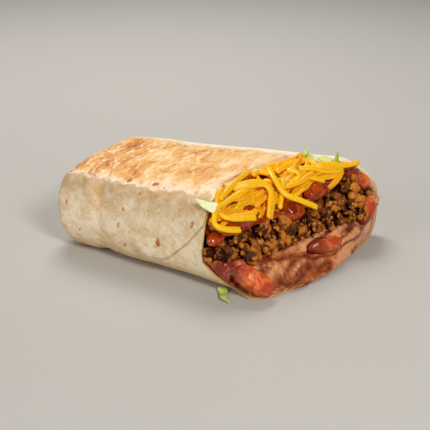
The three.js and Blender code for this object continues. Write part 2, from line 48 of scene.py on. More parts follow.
def srgb(red, green, blue):
    """A colour as paint charts give it, from 0 to 255, for a shader."""
    parts = [part / 255 for part in (red, green, blue)]
    linear = [part / 12.92 if part < 0.04045 else ((part + 0.055) / 1.055) ** 2.4 for part in parts]
    return (*linear, 1.0)


def heading(turn, rise):
    """The direction at a turn from +X towards +Y and at a rise over the table, in degrees."""
    turn, rise = math.radians(turn), math.radians(rise)
    return math.cos(rise) * math.cos(turn), math.cos(rise) * math.sin(turn), math.sin(rise)


# The camera looks down on the near side and into the open end.
CAMERA_TURN = -63
CAMERA_RISE = 21.5
CAMERA_DISTANCE = 506 * MM
CAMERA_TARGET = Vector((1.23, 2.03, 15)) * MM
CAMERA_LENS = 92.1
NEAREST_SEEN = 10 * MM
towards_camera = Vector(heading(CAMERA_TURN, CAMERA_RISE))
bpy.ops.object.camera_add(
    location=CAMERA_TARGET + towards_camera * CAMERA_DISTANCE,
    rotation=towards_camera.to_track_quat("Z", "Y").to_euler(),
)
camera = bpy.context.object
camera.data.lens = CAMERA_LENS
camera.data.clip_start = NEAREST_SEEN
bpy.context.scene.camera = camera

# The studio: a pale table top and an even pale surround, with a light behind and above the burrito,
# one in front of the open end, and a wide one off the near side.
FLOOR_SIZE = 6
FLOOR_GREY = srgb(186, 184, 180)
FLOOR_ROUGHNESS = 0.9
SURROUND_WHITE = srgb(244, 240, 234)
SURROUND_STRENGTH = 0.14
LIGHT_COLOUR = (1.0, 0.96, 0.91)
LIGHTS = [
    # name, direction from the burrito, distance, width, power
    ("back_light", (-0.45, 0.6, 1.0), 0.75, 0.35, 3.7),
    ("front_light", (0.85, -0.6, 0.8), 0.9, 0.22, 5.0),
    ("side_light", (-0.45, -1.0, 0.5), 1.0, 0.5, 3.1),
]
bpy.ops.mesh.primitive_plane_add(size=FLOOR_SIZE)
floor = bpy.context.object
floor.name = "floor"
floor_paint = bpy.data.materials.new("floor_paint")
floor_paint.use_nodes = True
paint = floor_paint.node_tree.nodes["Principled BSDF"].inputs
paint["Base Color"].default_value = FLOOR_GREY
paint["Roughness"].default_value = FLOOR_ROUGHNESS
floor.data.materials.append(floor_paint)

surround = bpy.data.worlds.new("surround")
surround.use_nodes = True
background = surround.node_tree.nodes["Background"].inputs
background["Color"].default_value = SURROUND_WHITE
background["Strength"].default_value = SURROUND_STRENGTH
bpy.context.scene.world = surround
bpy.context.scene.view_settings.view_transform = "Standard"

for name, direction, distance, width, power in LIGHTS:
    aim = Vector(direction).normalized()
    turned = aim.to_track_quat("Z", "Y").to_euler()
    bpy.ops.object.light_add(type="AREA", location=aim * distance, rotation=turned)
    light = bpy.context.object
    light.name = name
    light.data.size = width
    light.data.energy = power
    light.data.color = LIGHT_COLOUR

# The tortilla: a griddled flour sheet about 2 mm thick, wound once round the filling so that its
# outer edge shows along the near side, tucked in at the closed end and open at the mouth.
HALF_WIDTH = 31
WIDENING = 0.145
HALF_HEIGHT = 20
AXIS_Y = -1
AXIS_Z = 19
SQUARENESS = 4.6
SIDE_HALF_ANGLE = math.radians(27)
SIDE_LEAN = 1.2
FAR_RISE = 1.1
# Depth of a wave of the sheet, its length over a turn, and how many go round the roll.
UNEVEN = [(0.25, 13, 2), (0.2, 8, -3)]
FLARE = 3
FLARE_ANGLE = math.radians(-155)
FLARE_SPREAD = math.radians(11)
FLARE_X = (97, 109)
END_DEPTH = 8
END_POWER = 3.9
FOLD_SPAN = 36
FOLD_TOP = 6.5
FOLD_FOOT = 11
FOLD_FAR = 2
SHEET = 2.2
RIM_SHEET = 1
RIM_THINNING = 14
EDGE_STEP = 1.6
SEAM_HEIGHT = 8
SEAM_RISE = 21
SEAM_TURN_X = 54
SEAM_END_X = 86
SEAM_CURVE = 2.3
CREASE_X = 29
CREASE_HALF_WIDTH = 4
RIM = [
    # angle in degrees, and how far along the roll the rim lies there
    (-183, 85), (-171, 85), (-165, 90.5), (-161, 96), (-157, 108), (-153, 113), (-147, 118),
    (-140, 121.5), (-110, 125), (-60, 127.5), (-34, 129.2), (0, 129.4), (6, 128.2), (10, 126),
    (14, 121.5), (18, 117), (23, 113.5), (27, 107), (31, 99), (35, 94.5), (48, 92), (65, 89.5),
    (88, 85.2), (104, 83.8), (118, 82.7), (133, 82.7), (148, 86), (160, 86), (177, 85),
]
RIM_START = RIM[0][0]
RIM_SOFTENING = 2.5
RIM_STEPS = 720

# The pole of the closed end is the solid's lowest point along X. It sets the place of everything.
pole = min((corner.co for corner in nodes["tortilla"].data.vertices), key=lambda co: co.x)
SHIFT = np.array(pole) / MM - np.array((0, AXIS_Y, AXIS_Z))

# The corners of the rim's outline are rounded off by a mean over the softening to either side.
rim_angles = np.linspace(RIM_START, RIM_START + 360, RIM_STEPS + 1)
near_angles = rim_angles[:, None] + np.linspace(-RIM_SOFTENING, RIM_SOFTENING, 9)
rim_turns = [(angle + turn, x) for turn in (-360, 0, 360) for angle, x in RIM]
rim_places = np.interp(near_angles, *np.array(rim_turns, float).T).mean(axis=1)


def rim_at(angle):
    """How far along the roll its rim lies at an angle."""
    degrees = np.mod(np.degrees(angle) - RIM_START, 360) + RIM_START
    return np.interp(degrees, rim_angles, rim_places)


def smoothstep(low, high, value):
    share = np.clip((value - low) / (high - low), 0, 1)
    return share * share * (3 - 2 * share)


def lerp(start, end, share):
    return start + (end - start) * share


def hump(angle, middle, spread):
    """1 at an angle, and less round it within the spread."""
    return np.exp(-2 * (1 - np.cos(angle - middle)) / spread**2)


def on_roll(x, angle, outwards, dent=0.0):
    """Points of the roll from places along it, angles round it, moves outwards, and dents."""
    past = np.clip((x + outwards) / (END_DEPTH + outwards), 0, 1)
    round_over = (1 - (1 - past) ** END_POWER) ** (1 / END_POWER)
    across, up = np.cos(angle), np.sin(angle)
    crease = np.exp(-(((x - CREASE_X) / CREASE_HALF_WIDTH) ** 2)) * np.maximum(0, -across) ** 2
    uneven = sum(depth * np.sin(x / length + waves * angle) for depth, length, waves in UNEVEN)
    flare = FLARE * smoothstep(*FLARE_X, x) * hump(angle, FLARE_ANGLE, FLARE_SPREAD)
    out = flare + np.where(outwards < 0, outwards, outwards - crease + uneven * past) - dent
    half_width = HALF_WIDTH + WIDENING * x - SIDE_LEAN * up + out
    half_height = HALF_HEIGHT + out
    box = (np.abs(across) / half_width) ** SQUARENESS + (np.abs(up) / half_height) ** SQUARENESS
    reach = round_over * box ** (-1 / SQUARENESS)
    rise = 2 * FAR_RISE * round_over * (x / SEAM_END_X) * np.maximum(0, across) * np.maximum(0, up)
    z = np.maximum(AXIS_Z + reach * up, np.maximum(0, -outwards)) + rise
    high = (z - AXIS_Z) / HALF_HEIGHT
    far = np.maximum(0, reach * across) / HALF_WIDTH
    lean_back = np.where(high > 0, FOLD_TOP, FOLD_FOOT) * high**2 + FOLD_FAR * far**2
    near_end = (1 - np.minimum(1, x / FOLD_SPAN)) ** 2
    return np.stack([x + near_end * lean_back, AXIS_Y + reach * across, z], axis=-1)


def angle_of(points):
    """The angle round the roll at which each point lies."""
    return np.arctan2(points[:, 2] - AXIS_Z, points[:, 1] - AXIS_Y)


def seam_height(x):
    climb = np.maximum(0, (x - SEAM_TURN_X) / (SEAM_END_X - SEAM_TURN_X)) ** SEAM_CURVE
    return SEAM_HEIGHT + SEAM_RISE * np.minimum(1, climb)


def height_angle(x, height):
    """The angle at which a point of the near side lies at a height."""
    return math.pi - np.arctan((height - AXIS_Z) / (HALF_WIDTH + WIDENING * x))


def sheet_at(x, angle):
    return lerp(RIM_SHEET, SHEET, np.clip((rim_at(angle) - x) / RIM_THINNING, 0, 1))


def rough(points, size, seed=0.0):
    """Noise from about -1 to 1 at each point, with bumps about size across."""
    return np.array([noise.noise(Vector(point) / size + Vector((seed, 0, 0))) for point in points])


def rough_grid(points, size, seed=0.0):
    return rough(points.reshape(-1, 3), size, seed).reshape(points.shape[:-1])


def unit(vectors):
    return vectors / np.linalg.norm(vectors, axis=1)[:, None]


def lengths(line):
    """How far along a line each of its points lies."""
    return np.concatenate([[0], np.cumsum(np.linalg.norm(np.diff(line, axis=0), axis=1))])


def placed(points):
    """Points of the burrito in millimetres, moved to their place in metres."""
    return (np.asarray(points) + SHIFT) * MM


def only(*pieces):
    """Selects these pieces and nothing else."""
    bpy.ops.object.select_all(action="DESELECT")
    for piece in pieces:
        piece.select_set(True)
    bpy.context.view_layer.objects.active = pieces[0]


def edit(piece):
    """Opens a piece in edit mode with all of it selected."""
    only(piece)
    bpy.ops.object.mode_set(mode="EDIT")
    bpy.ops.mesh.select_all(action="SELECT")


def finished():
    bpy.ops.object.mode_set(mode="OBJECT")


def closed(piece, gap):
    """Merges corners that lie within a gap of each other, and turns every facet outwards."""
    edit(piece)
    bpy.ops.mesh.remove_doubles(threshold=gap * MM)
    bpy.ops.mesh.normals_make_consistent(inside=False)
    finished()


def named(piece, name):
    piece.name = name
    piece.data.name = name
    return piece


def corners_of(piece):
    """The corners of a piece in millimetres, in the burrito's own frame."""
    flat = np.empty(len(piece.data.vertices) * 3, np.float32)
    piece.data.vertices.foreach_get("co", flat)
    return flat.reshape(-1, 3).astype(float) / MM - SHIFT


def move_corners(piece, points):
    piece.data.vertices.foreach_set("co", placed(points).astype(np.float32).ravel())
    piece.data.update()


def mark(piece, name, values):
    """Keeps a value at each corner of a piece, for its material."""
    values = np.full(len(piece.data.vertices), values, np.float32)
    piece.data.attributes.new(name, "FLOAT", "POINT").data.foreach_set("value", values)


def grid_piece(name, points):
    """A primitive grid whose corners are laid on rows of points."""
    rows, columns = points.shape[:2]
    bpy.ops.mesh.primitive_grid_add(x_subdivisions=columns - 1, y_subdivisions=rows - 1)
    piece = named(bpy.context.object, name)
    move_corners(piece, points.reshape(-1, 3))
    return piece


# The skin is laid in rings of points. Each ring starts on the flap just over its edge, goes over the
# top and round, comes up the near side to the edge, and follows EDGE_PROFILE: in under the flap, back
# out and round its edge. Each stop of the profile is a height over the edge and a share of the step.
EDGE_PROFILE = np.array([
    (-1.2, 0), (0.2, 0), (1.4, 0.01), (2.5, 0.05), (2.9, 0.12), (2.6, 0.2), (1.5, 0.26), (0.5, 0.34),
    (0.12, 0.45), (0, 0.62), (0.12, 0.8), (0.55, 0.93), (1.3, 0.99), (2.6, 1), (4.2, 1),
])
EDGE_SOFT_SPAN = (-4, 7)
EDGE_SOFT_POWER = 1.5
EDGE_CRISP_FROM = (44, 54)
SIDE_COLUMNS = 20
ROUND_COLUMNS = 236
CAP_RINGS = 36
CAP_SPAN = 34
CAP_STEPS = 800
LENGTH_RINGS = 132
INNER_RINGS = 14
OUTSIDE_RINGS = CAP_RINGS - 1 + LENGTH_RINGS
SECTION_X = 60.0
SECTION_STEPS = 2000

corner_angle = math.pi - SIDE_HALF_ANGLE
section_angles = np.linspace(corner_angle, -corner_angle, SECTION_STEPS)
section = lengths(on_roll(np.full(SECTION_STEPS, SECTION_X), section_angles, np.zeros(SECTION_STEPS)))
round_angles = np.interp(np.linspace(0, section[-1], ROUND_COLUMNS), section, section_angles)
soft_climb = np.linspace(*EDGE_SOFT_SPAN, len(EDGE_PROFILE))
soft_share = np.linspace(0, 1, len(EDGE_PROFILE)) ** EDGE_SOFT_POWER


def ring_columns(x, crispness):
    """The angles of a ring's columns, and the share of the edge's step that each stands out by."""
    crisp = crispness * smoothstep(*EDGE_CRISP_FROM, x)
    steepness = SEAM_RISE * SEAM_CURVE / (SEAM_END_X - SEAM_TURN_X)
    slope = steepness * np.clip((x - SEAM_TURN_X) / (SEAM_END_X - SEAM_TURN_X), 0, 1) ** (SEAM_CURVE - 1)
    climb = lerp(soft_climb, EDGE_PROFILE[:, 0], crisp) * np.hypot(1, slope) * min(1, x / END_DEPTH)
    edge_angles = height_angle(x, seam_height(x) + climb) - 2 * math.pi
    flap_start = edge_angles[-1] + 2 * math.pi
    above = np.linspace(flap_start, corner_angle, SIDE_COLUMNS)[:-1]
    below = np.linspace(-corner_angle, edge_angles[0], SIDE_COLUMNS)[1:-1]
    turned = np.concatenate([above, round_angles, below])
    share = 1 - (flap_start - turned) / (flap_start - edge_angles[0])
    edge_share = lerp(soft_share, EDGE_PROFILE[:, 1], crisp)
    return np.concatenate([turned, edge_angles]), np.concatenate([share, edge_share])


# Over the rim the skin rounds from the outside to the inside. On the near side and the top the two
# turns of the sheet show there as two lips with a groove between them, and the inner one is longer.
# Each stop is how far behind the rim it lies and its share of the way from the inside to the outside.
SINGLE_LIP = np.array([
    (0.6, 1), (0.3, 0.96), (0.12, 0.87), (0.03, 0.74), (0, 0.6), (0, 0.45), (0.03, 0.3), (0.12, 0.15),
    (0.3, 0.05), (0.6, 0),
])
DOUBLE_LIP = np.array([
    (0.6, 1), (0.1, 0.92), (0, 0.76), (0.3, 0.62), (3, 0.57), (3, 0.5), (0.25, 0.46), (0, 0.3),
    (0.15, 0.1), (0.6, 0),
])
DOUBLE_LIP_FADE = (0.16, 0.1)
INNER_LIP_FROM = 5
INNER_LIP_LENGTH = 3.2
INNER_LIP_SPAN = (0.0, 0.03, 0.14)
INNER_CROWDING = 0.8


def tortilla_rows():
    """Rows of places along the roll, angles and moves outwards, from pole to rim and back inside."""
    cap_x = np.linspace(0, END_DEPTH, CAP_STEPS)
    cap_reach = CAP_SPAN * (1 - (1 - cap_x / END_DEPTH) ** END_POWER) ** (1 / END_POWER)
    cap = lengths(np.stack([cap_x, cap_reach], axis=1))
    rows = []
    for x in np.interp(np.linspace(0, cap[-1], CAP_RINGS), cap, cap_x)[:-1]:
        angles, share = ring_columns(x, 1)
        rows.append((np.full(len(angles), x), angles, EDGE_STEP * share * x / END_DEPTH))
    back = SINGLE_LIP[0, 0]
    for along in np.linspace(0, 1, LENGTH_RINGS):
        angles, share = ring_columns(lerp(END_DEPTH, SEAM_END_X, along), 1)
        rows.append((lerp(END_DEPTH, rim_at(angles) - back, along), angles, EDGE_STEP * share))
    for stop in range(1, len(SINGLE_LIP)):
        across = stop / (len(SINGLE_LIP) - 1)
        angles, share = ring_columns(SEAM_END_X, 1 - across)
        turn = 1 - share
        doubled = smoothstep(*DOUBLE_LIP_FADE, turn)
        behind, level = np.moveaxis(lerp(SINGLE_LIP[stop], DOUBLE_LIP[stop], doubled[:, None]), 1, 0)
        first, full, last = INNER_LIP_SPAN
        longer = smoothstep(first, full * 0.5, turn) * smoothstep(last, full, turn)
        forward = INNER_LIP_LENGTH * longer if stop >= INNER_LIP_FROM else 0
        x = rim_at(angles) - behind + forward
        rows.append((x, angles, lerp(-RIM_SHEET, EDGE_STEP * share, level)))
    for along in np.linspace(0, 1, INNER_RINGS)[1:]:
        angles, share = ring_columns(lerp(SEAM_END_X, END_DEPTH, along), 0)
        x = lerp(rim_at(angles) - back, SHEET, along**INNER_CROWDING)
        rows.append((x, angles, -sheet_at(x, angles)))
    return rows


# At the folded end a near and a far flap are tucked over the middle one. Each flap has a straight
# edge with slow waves, from its top corner down over the end.
NEAR_FLAP = (-30, 37)
FAR_FLAP = (28, 37)
FLAP_EDGE = (-0.4, 0.5)
FLAP_STEP = 0.9
PLEAT = 0.35
END_FADE = (3, 11)
DENT = 0.3
BUMP = 0.07
WRINKLE = 0.3
WRINKLE_SIZES = (3.2, 11, 7)
WRINKLE_X = (60, 15)
WRINKLE_Z = (33, 38)


def end_folds(points):
    """How far each point of the folded end is pressed in."""
    y, z = points[..., 1], points[..., 2]
    near_edge = 0.636 * (y - NEAR_FLAP[0]) + 0.771 * (z - NEAR_FLAP[1]) + 1.2 * np.sin(z / 6)
    far_edge = 0.687 * (FAR_FLAP[0] - y) + 0.727 * (z - FAR_FLAP[1]) + 1.0 * np.sin(y / 7)
    past_near, past_far = smoothstep(*FLAP_EDGE, near_edge), smoothstep(*FLAP_EDGE, far_edge)
    pleats = PLEAT * np.sin(0.9 * y + 0.35 * z) * past_near * past_far
    dents = 0.5 * (rough_grid(points, 7, 5) + 0.5)
    return past_near * (FLAP_STEP + FLAP_STEP * past_far) + pleats + dents


def tortilla_relief(points):
    """How far the outside is dented: wide soft dents, low bumps, and wrinkles over the folded end."""
    wide = DENT * (rough_grid(points, 16, 3) - 0.5)
    fine = BUMP * rough_grid(points, 3.6, 11)
    drawn = rough_grid(points / np.array(WRINKLE_SIZES), 1, 40)
    wrinkles = -WRINKLE * smoothstep(0.6, 0.95, 1 - 2.4 * np.abs(drawn))
    fine += wrinkles * smoothstep(*WRINKLE_X, points[..., 0]) * smoothstep(*WRINKLE_Z, points[..., 2])
    outside = np.arange(len(points)) < OUTSIDE_RINGS
    return -(wide + fine) * outside[:, None]


rows = tortilla_rows()
smooth_skin = np.array([on_roll(*row) for row in rows])
skin = np.array([on_roll(*row, dent=dent) for row, dent in zip(rows, tortilla_relief(smooth_skin))])
on_end = 1 - smoothstep(*END_FADE, np.array([row[0] for row in rows]))
on_end[OUTSIDE_RINGS:] = 0
skin[..., 0] += on_end * end_folds(skin)
tortilla = grid_piece("tortilla_sheet", skin)
behind_rim = np.array([rim_at(angles) - x for x, angles, outwards in rows])
behind_rim[OUTSIDE_RINGS:] = -1
mark(tortilla, "from_rim", behind_rim.ravel())
closed(tortilla, gap=0.02)
bpy.ops.object.shade_smooth()
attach(tortilla, "root")
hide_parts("tortilla")


class Amount:
    """A socket of a material's nodes. Sums on it add the Math nodes that work them out."""

    def __init__(self, finish, socket):
        self.finish = finish
        self.socket = socket

    def __add__(self, other):
        return self.finish.sum("ADD", self, other)

    def __sub__(self, other):
        return self.finish.sum("SUBTRACT", self, other)

    def __rsub__(self, other):
        return self.finish.sum("SUBTRACT", other, self)

    def __mul__(self, other):
        return self.finish.sum("MULTIPLY", self, other)

    def __pow__(self, other):
        return self.finish.sum("POWER", self, other)

    __radd__ = __add__
    __rmul__ = __mul__

    def most(self, other):
        return self.finish.sum("MAXIMUM", self, other)

    def step(self, low, high):
        """0 where this is under low, 1 where it is over high, and smooth between them."""
        settings = {"interpolation_type": "SMOOTHSTEP", "clamp": True}
        sockets = {"Value": self, "From Min": low, "From Max": high}
        return self.finish.node("ShaderNodeMapRange", settings, sockets)


class Finish:
    """A material that is put together from nodes, with its places in millimetres."""

    def __init__(self, name, **constants):
        self.material = bpy.data.materials.new(name)
        self.material.use_nodes = True
        self.tree = self.material.node_tree
        self.surface(constants)
        raw = self.node("ShaderNodeTexCoord", output="Object")
        scaled = {0: raw, 1: (1 / MM,) * 3, 2: tuple(-SHIFT)}
        self.place = self.node("ShaderNodeVectorMath", {"operation": "MULTIPLY_ADD"}, scaled)

    def surface(self, values):
        """Gives the surface's sockets their values or links."""
        for name, value in values.items():
            self.feed(self.tree.nodes["Principled BSDF"].inputs[name.replace("_", " ")], value)

    def node(self, kind, settings=None, sockets=None, output=0):
        """Adds a node with its settings and the values or links of its sockets."""
        node = self.tree.nodes.new(kind)
        for name, value in (settings or {}).items():
            setattr(node, name, value)
        for name, value in (sockets or {}).items():
            self.feed(node.inputs[name], value)
        return Amount(self, node.outputs[output])

    def feed(self, socket, value):
        if isinstance(value, Amount):
            self.tree.links.new(value.socket, socket)
        else:
            socket.default_value = value

    def sum(self, operation, first, second):
        return self.node("ShaderNodeMath", {"operation": operation}, {0: first, 1: second})

    def grain(self, size, detail=2.0, stretch=(1, 1, 1), warp=0.0, turn=0.0, rougher=0.5, seed=0.0):
        """Noise from 0 to 1 with blots about size across, drawn out by stretch along X, Y and Z."""
        mapping = {
            "Vector": self.place,
            "Location": (seed, seed, 0),
            "Rotation": (0, 0, turn),
            "Scale": tuple(1 / (size * part) for part in stretch),
        }
        vector = self.node("ShaderNodeMapping", {"vector_type": "POINT"}, mapping)
        sockets = {"Vector": vector, "Scale": 1.0, "Detail": detail}
        return self.node("ShaderNodeTexNoise", {}, sockets | {"Distortion": warp, "Roughness": rougher})

    def blot(self, centre, half_sizes, turn=(0, 0, 0)):
        """Distance from an oval blot: 0 in its middle and 1 on its outline."""
        mapping = {"Vector": self.place, "Location": centre, "Rotation": turn, "Scale": half_sizes}
        vector = self.node("ShaderNodeMapping", {"vector_type": "TEXTURE"}, mapping)
        return self.node("ShaderNodeVectorMath", {"operation": "LENGTH"}, {0: vector}, output="Value")

    def along(self, axis):
        return self.node("ShaderNodeSeparateXYZ", {}, {0: self.place}, output=axis)

    def value_of(self, name):
        """A value that the mesh keeps at its corners."""
        return self.node("ShaderNodeAttribute", {"attribute_name": name}, output="Fac")

    def layers(self, colour, *layers):
        """A colour with others laid over it, each by its own share."""
        for share, over in layers:
            sockets = {0: share, 6: colour, 7: over}
            colour = self.node("ShaderNodeMix", {"data_type": "RGBA"}, sockets, output=2)
        return colour

    def bump(self, height, depth, under=None):
        """A normal for relief of a depth in millimetres, over another normal."""
        sockets = {"Height": height, "Distance": depth * MM, "Strength": 1.0}
        if under is not None:
            sockets["Normal"] = under
        return self.node("ShaderNodeBump", {}, sockets)

    def on(self, piece, colour, relief):
        """Gives the surface its colour and relief, and the material to a piece."""
        self.surface({"Base_Color": colour, "Normal": relief})
        piece.data.materials.clear()
        piece.data.materials.append(self.material)


# Flour dough stays cream where it was only steamed. The griddle toasted the flat top and underside
# in golden patches with pale streaks, and each air bubble left a small brown spot.
CREAM = srgb(244, 226, 196)
CREAM_SHADE = srgb(222, 196, 154)
CREAM_LIGHT = srgb(252, 240, 220)
CREAM_WARM = srgb(222, 190, 132)
CREAM_FOOT_SHADE = srgb(214, 178, 112)
CREAM_PAINTED_SHADE = srgb(186, 154, 106)
CREAM_INSIDE = srgb(188, 138, 78)
CREAM_OLIVE = srgb(206, 182, 104)
TOAST_PALE = srgb(242, 206, 144)
TOAST_GOLD = srgb(232, 176, 98)
TOAST_BROWN = srgb(216, 142, 60)
TOAST_DARK = srgb(180, 94, 28)
TOAST_WORN = srgb(252, 234, 196)
SPOT = srgb(186, 106, 44)
SPOT_DARK = srgb(126, 62, 18)
TOAST_EDGE_HEIGHT = 35.2
TOAST_EDGE_RISE = 0.04
SMEAR = ((28.3, -36, 27.5), (4.4, 8, 11), -14)
SPOTS = [
    # place, half sizes, tilt in degrees, strength
    ((9.6, -29, 37.2), (1.3, 2.0, 1.5), 0, 1.0),
    ((42.5, -32.3, 38.1), (1.7, 1.4, 1.0), -30, 1.0),
    ((55.6, -32.1, 38.4), (2.2, 1.5, 1.1), -30, 1.0),
    ((60.7, -33.9, 38.1), (0.5, 1.0, 0.4), 0, 0.8),
    ((10.0, -34.7, 23.4), (0.6, 3, 1.5), 0, 0.8),
    ((50.7, -36.6, 35.1), (0.8, 3, 0.8), 0, 0.6),
    ((59.2, -37.2, 35.4), (0.45, 3, 0.45), 0, 0.7),
    ((43.1, -39.3, 27.1), (0.65, 3, 1.0), -10, 0.8),
    ((56.5, -40.3, 29.5), (0.4, 3, 0.6), 0, 0.7),
    ((40.2, -39.6, 19.0), (0.6, 3, 1.8), 20, 0.8),
    ((46.1, -40.3, 17.0), (0.7, 3, 0.9), 0, 0.4),
    ((17.1, -35.8, 11.3), (0.5, 3, 1.3), 35, 0.7),
    ((16.0, -35.7, 8.1), (1.4, 3, 0.5), 20, 0.5),
    ((43.1, -39.8, 9.9), (0.8, 3, 1.2), 15, 0.9),
    ((61.8, -42.2, 15.6), (1.3, 3, 2.1), 0, 1.0),
    ((60.6, -42.2, 13.8), (1.2, 3, 0.5), 0, 0.6),
    ((80.0, -44.7, 28.4), (0.8, 3, 2.1), 20, 0.8),
    ((78.7, -42.2, 34.1), (0.4, 3, 0.4), 0, 0.7),
    ((76.5, -34.2, 38.7), (1.0, 2, 0.8), 0, 0.5),
    ((54.3, -41.1, 8.1), (0.4, 3, 0.9), 25, 0.8),
    ((23.1, -32.4, 36.2), (0.5, 2, 0.7), 0, 0.5),
    ((49.3, -1.2, 40.5), (0.6, 1.0, 3), 0, 0.7),
    ((63.9, -16.4, 40.5), (1.6, 2.2, 3), 0, 0.7),
    ((53.5, -11.4, 40.6), (0.5, 0.9, 3), 0, 0.8),
    ((42.4, -10.2, 40.4), (0.4, 0.8, 3), 0, 0.7),
]
FAR_SPOTS = 13

dough = Finish(
    "griddled_flour_dough", Roughness=0.72, Subsurface_Weight=0.1, Subsurface_Radius=(1.0, 0.6, 0.35),
    Subsurface_Scale=1.5 * MM,
)
x, y, z = (dough.along(axis) for axis in "XYZ")
from_rim = dough.value_of("from_rim")
wide = dough.grain(11, detail=3)
mottle = dough.grain(4.5, detail=4, warp=0.5)
patches = dough.grain(9.5, detail=4, stretch=(0.8, 1.7, 1), warp=0.4, turn=0.25, seed=4)
streaks = dough.grain(2.4, detail=5, stretch=(0.7, 2.2, 1), warp=0.8, turn=0.25, rougher=0.62)
crumple = dough.grain(9, detail=3, stretch=(0.6, 1.6, 1), warp=0.8, seed=9)
fine = dough.grain(1.3, detail=4, rougher=0.6)
speckle = dough.grain(0.6, detail=2)

over_edge = z - (TOAST_EDGE_HEIGHT + TOAST_EDGE_RISE * x) + 5 * (patches - 0.5) + 2.2 * (mottle - 0.5)
# painted highlight: the far top edge is left untoasted and pale, where the light from behind catches it
painted_back_highlight = (y + 16 * (patches - 0.5) + 6 * (mottle - 0.5) - 0.04 * x).step(17, 25)
near_rim = (1 - (from_rim + 2.5 * (streaks - 0.5)).step(0.6, 3.4)) * (1 - 0.8 * z.step(36, 39))
on_top = (over_edge + 1.4 * (fine - 0.5)).step(-0.8, 1.7) * (1 - 0.9 * painted_back_highlight) * (1 - near_rim)
# a pale band where the toast ends: partly the dough's own untoasted colour, partly a painted highlight on
# the rounded edge
pale_edge_and_highlight = over_edge.step(-0.2, 0.5) * (1 - over_edge.step(0.8, 2.2)) * (0.1 + 1.1 * mottle)
# painted shade on the upper near side, darkest just under the top edge, where less light falls
painted_shade_under_edge = z.step(22, 34) * (1 - over_edge.step(-0.1, 0.7)) * (1 - painted_back_highlight)
under = (3.2 - z + 2.5 * (patches - 0.5)).step(-0.6, 1.6) * 0.8
end_heat = 1 - (x + 0.4 * y).step(4, 44)
heat = 0.66 * patches + 0.34 * streaks + 0.12 * fine + 0.1 * end_heat - 0.05 - 0.03 * x.step(60, 85)
crumpled = 1 - 4.5 * ((crumple - 0.5) ** 2) ** 0.5
worn_off = crumpled.step(0.62, 0.98) * (1 - streaks.step(0.42, 0.56)) * (0.75 - 0.4 * x.step(40, 75))
# painted shade on the inner layer at the near lip, tinted olive where the lettuce shows through the thin
# sheet
inner_lip_painted_shade = (1 - from_rim.step(-0.6, -0.1)) * z.step(18, 24) * (1 - y.step(-36, -28))
centre, half_sizes, tilt = SMEAR
smear = 1 - dough.blot(centre, half_sizes, (0, math.radians(tilt), 0)).step(0.4, 1.15)
cream = dough.layers(
    CREAM,
    ((wide * 0.5 + mottle * 0.5 + 0.1 * (speckle - 0.5)).step(0.36, 0.66), CREAM_SHADE),
    ((0.6 * wide + 0.4 * mottle).step(0.44, 0.64) * 0.5, CREAM_WARM),
    (fine.step(0.48, 0.68) * 0.5, CREAM_LIGHT),
    # painted shade: the side darker and warmer towards its foot, where it turns under
    ((1 - (z + 3 * (mottle - 0.5)).step(2.5, 9)) * 0.6, CREAM_FOOT_SHADE),
    # painted shade under the top edge
    (painted_shade_under_edge * (0.55 * (1.5 * mottle).step(0.2, 1.1) + 0.4 * z.step(29, 35)), CREAM_PAINTED_SHADE),
)
toast = dough.layers(
    TOAST_PALE,
    (heat.step(0.38, 0.52), TOAST_GOLD),
    (heat.step(0.51, 0.63), TOAST_BROWN),
    (speckle.step(0.56, 0.72) * heat.step(0.4, 0.6) * 0.5, TOAST_BROWN),
    (heat.step(0.61, 0.72), TOAST_DARK),
    (worn_off, TOAST_WORN),
)

spots = list(SPOTS)
rng = np.random.default_rng(3)
for number in range(FAR_SPOTS):
    spot_x = 10 + 100 * (number + rng.uniform(0, 1)) / FAR_SPOTS
    spot_z = rng.uniform(7, 36 if spot_x < 90 else 22)
    size = rng.uniform(0.5, 1.4)
    centre = (spot_x, HALF_WIDTH + WIDENING * spot_x, spot_z)
    spots.append((centre, (size, 5, size * rng.uniform(0.8, 1.6)), rng.uniform(-30, 30), 0.8))
spotted = None
for centre, half_sizes, tilt, strength in spots:
    distance = dough.blot(centre, half_sizes, (0, math.radians(tilt), 0)) + 0.9 * (fine - 0.5)
    spot = (1 - distance.step(0.55, 1.2)) * strength
    spotted = spot if spotted is None else spotted.most(spot)
colour = dough.layers(
    cream,
    (on_top.most(under), toast),
    # painted highlights on the pale near top edge and along the far top edge
    ((pale_edge_and_highlight * 0.7).most(painted_back_highlight * z.step(32, 38) * 0.9), CREAM_LIGHT),
    ((1 - from_rim.step(-0.2, 0.9)) * (1 - z.step(16, 30)) * 0.85, CREAM_INSIDE),
    (inner_lip_painted_shade * 0.8, CREAM_OLIVE),
    (smear * (0.5 * streaks + 0.5 * fine).step(0.46, 0.58) * 0.8, TOAST_GOLD),
    (spotted, SPOT),
    ((spotted * speckle).step(0.4, 0.7) * 0.6, SPOT_DARK),
)
relief = dough.bump(speckle, 0.11, dough.bump(fine, 0.4, dough.bump(mottle, 0.5)))
dough.on(tortilla, colour, relief)


# The filling meets the open end in one leaning face. Places on it are given across it, up it, and
# lifted off it.
FACE_CENTRE = np.array((112, 0, 20))
FACE_TURN = -23.5
FACE_TILT = 42.4
face_out = np.array(heading(FACE_TURN, FACE_TILT))
face_across = np.array(heading(FACE_TURN + 90, 0))
face_up = np.cross(face_out, face_across)
face_axes = np.stack([face_across, face_up, face_out])
trees = {}
for node, thing in nodes.items():
    corners = [corner.co for corner in thing.data.vertices]
    trees[node] = BVHTree.FromPolygons(corners, [side.vertices for side in thing.data.polygons])


def on_face(place):
    return FACE_CENTRE + np.asarray(place) @ face_axes


def face_places(points):
    return (points - FACE_CENTRE) @ face_axes.T


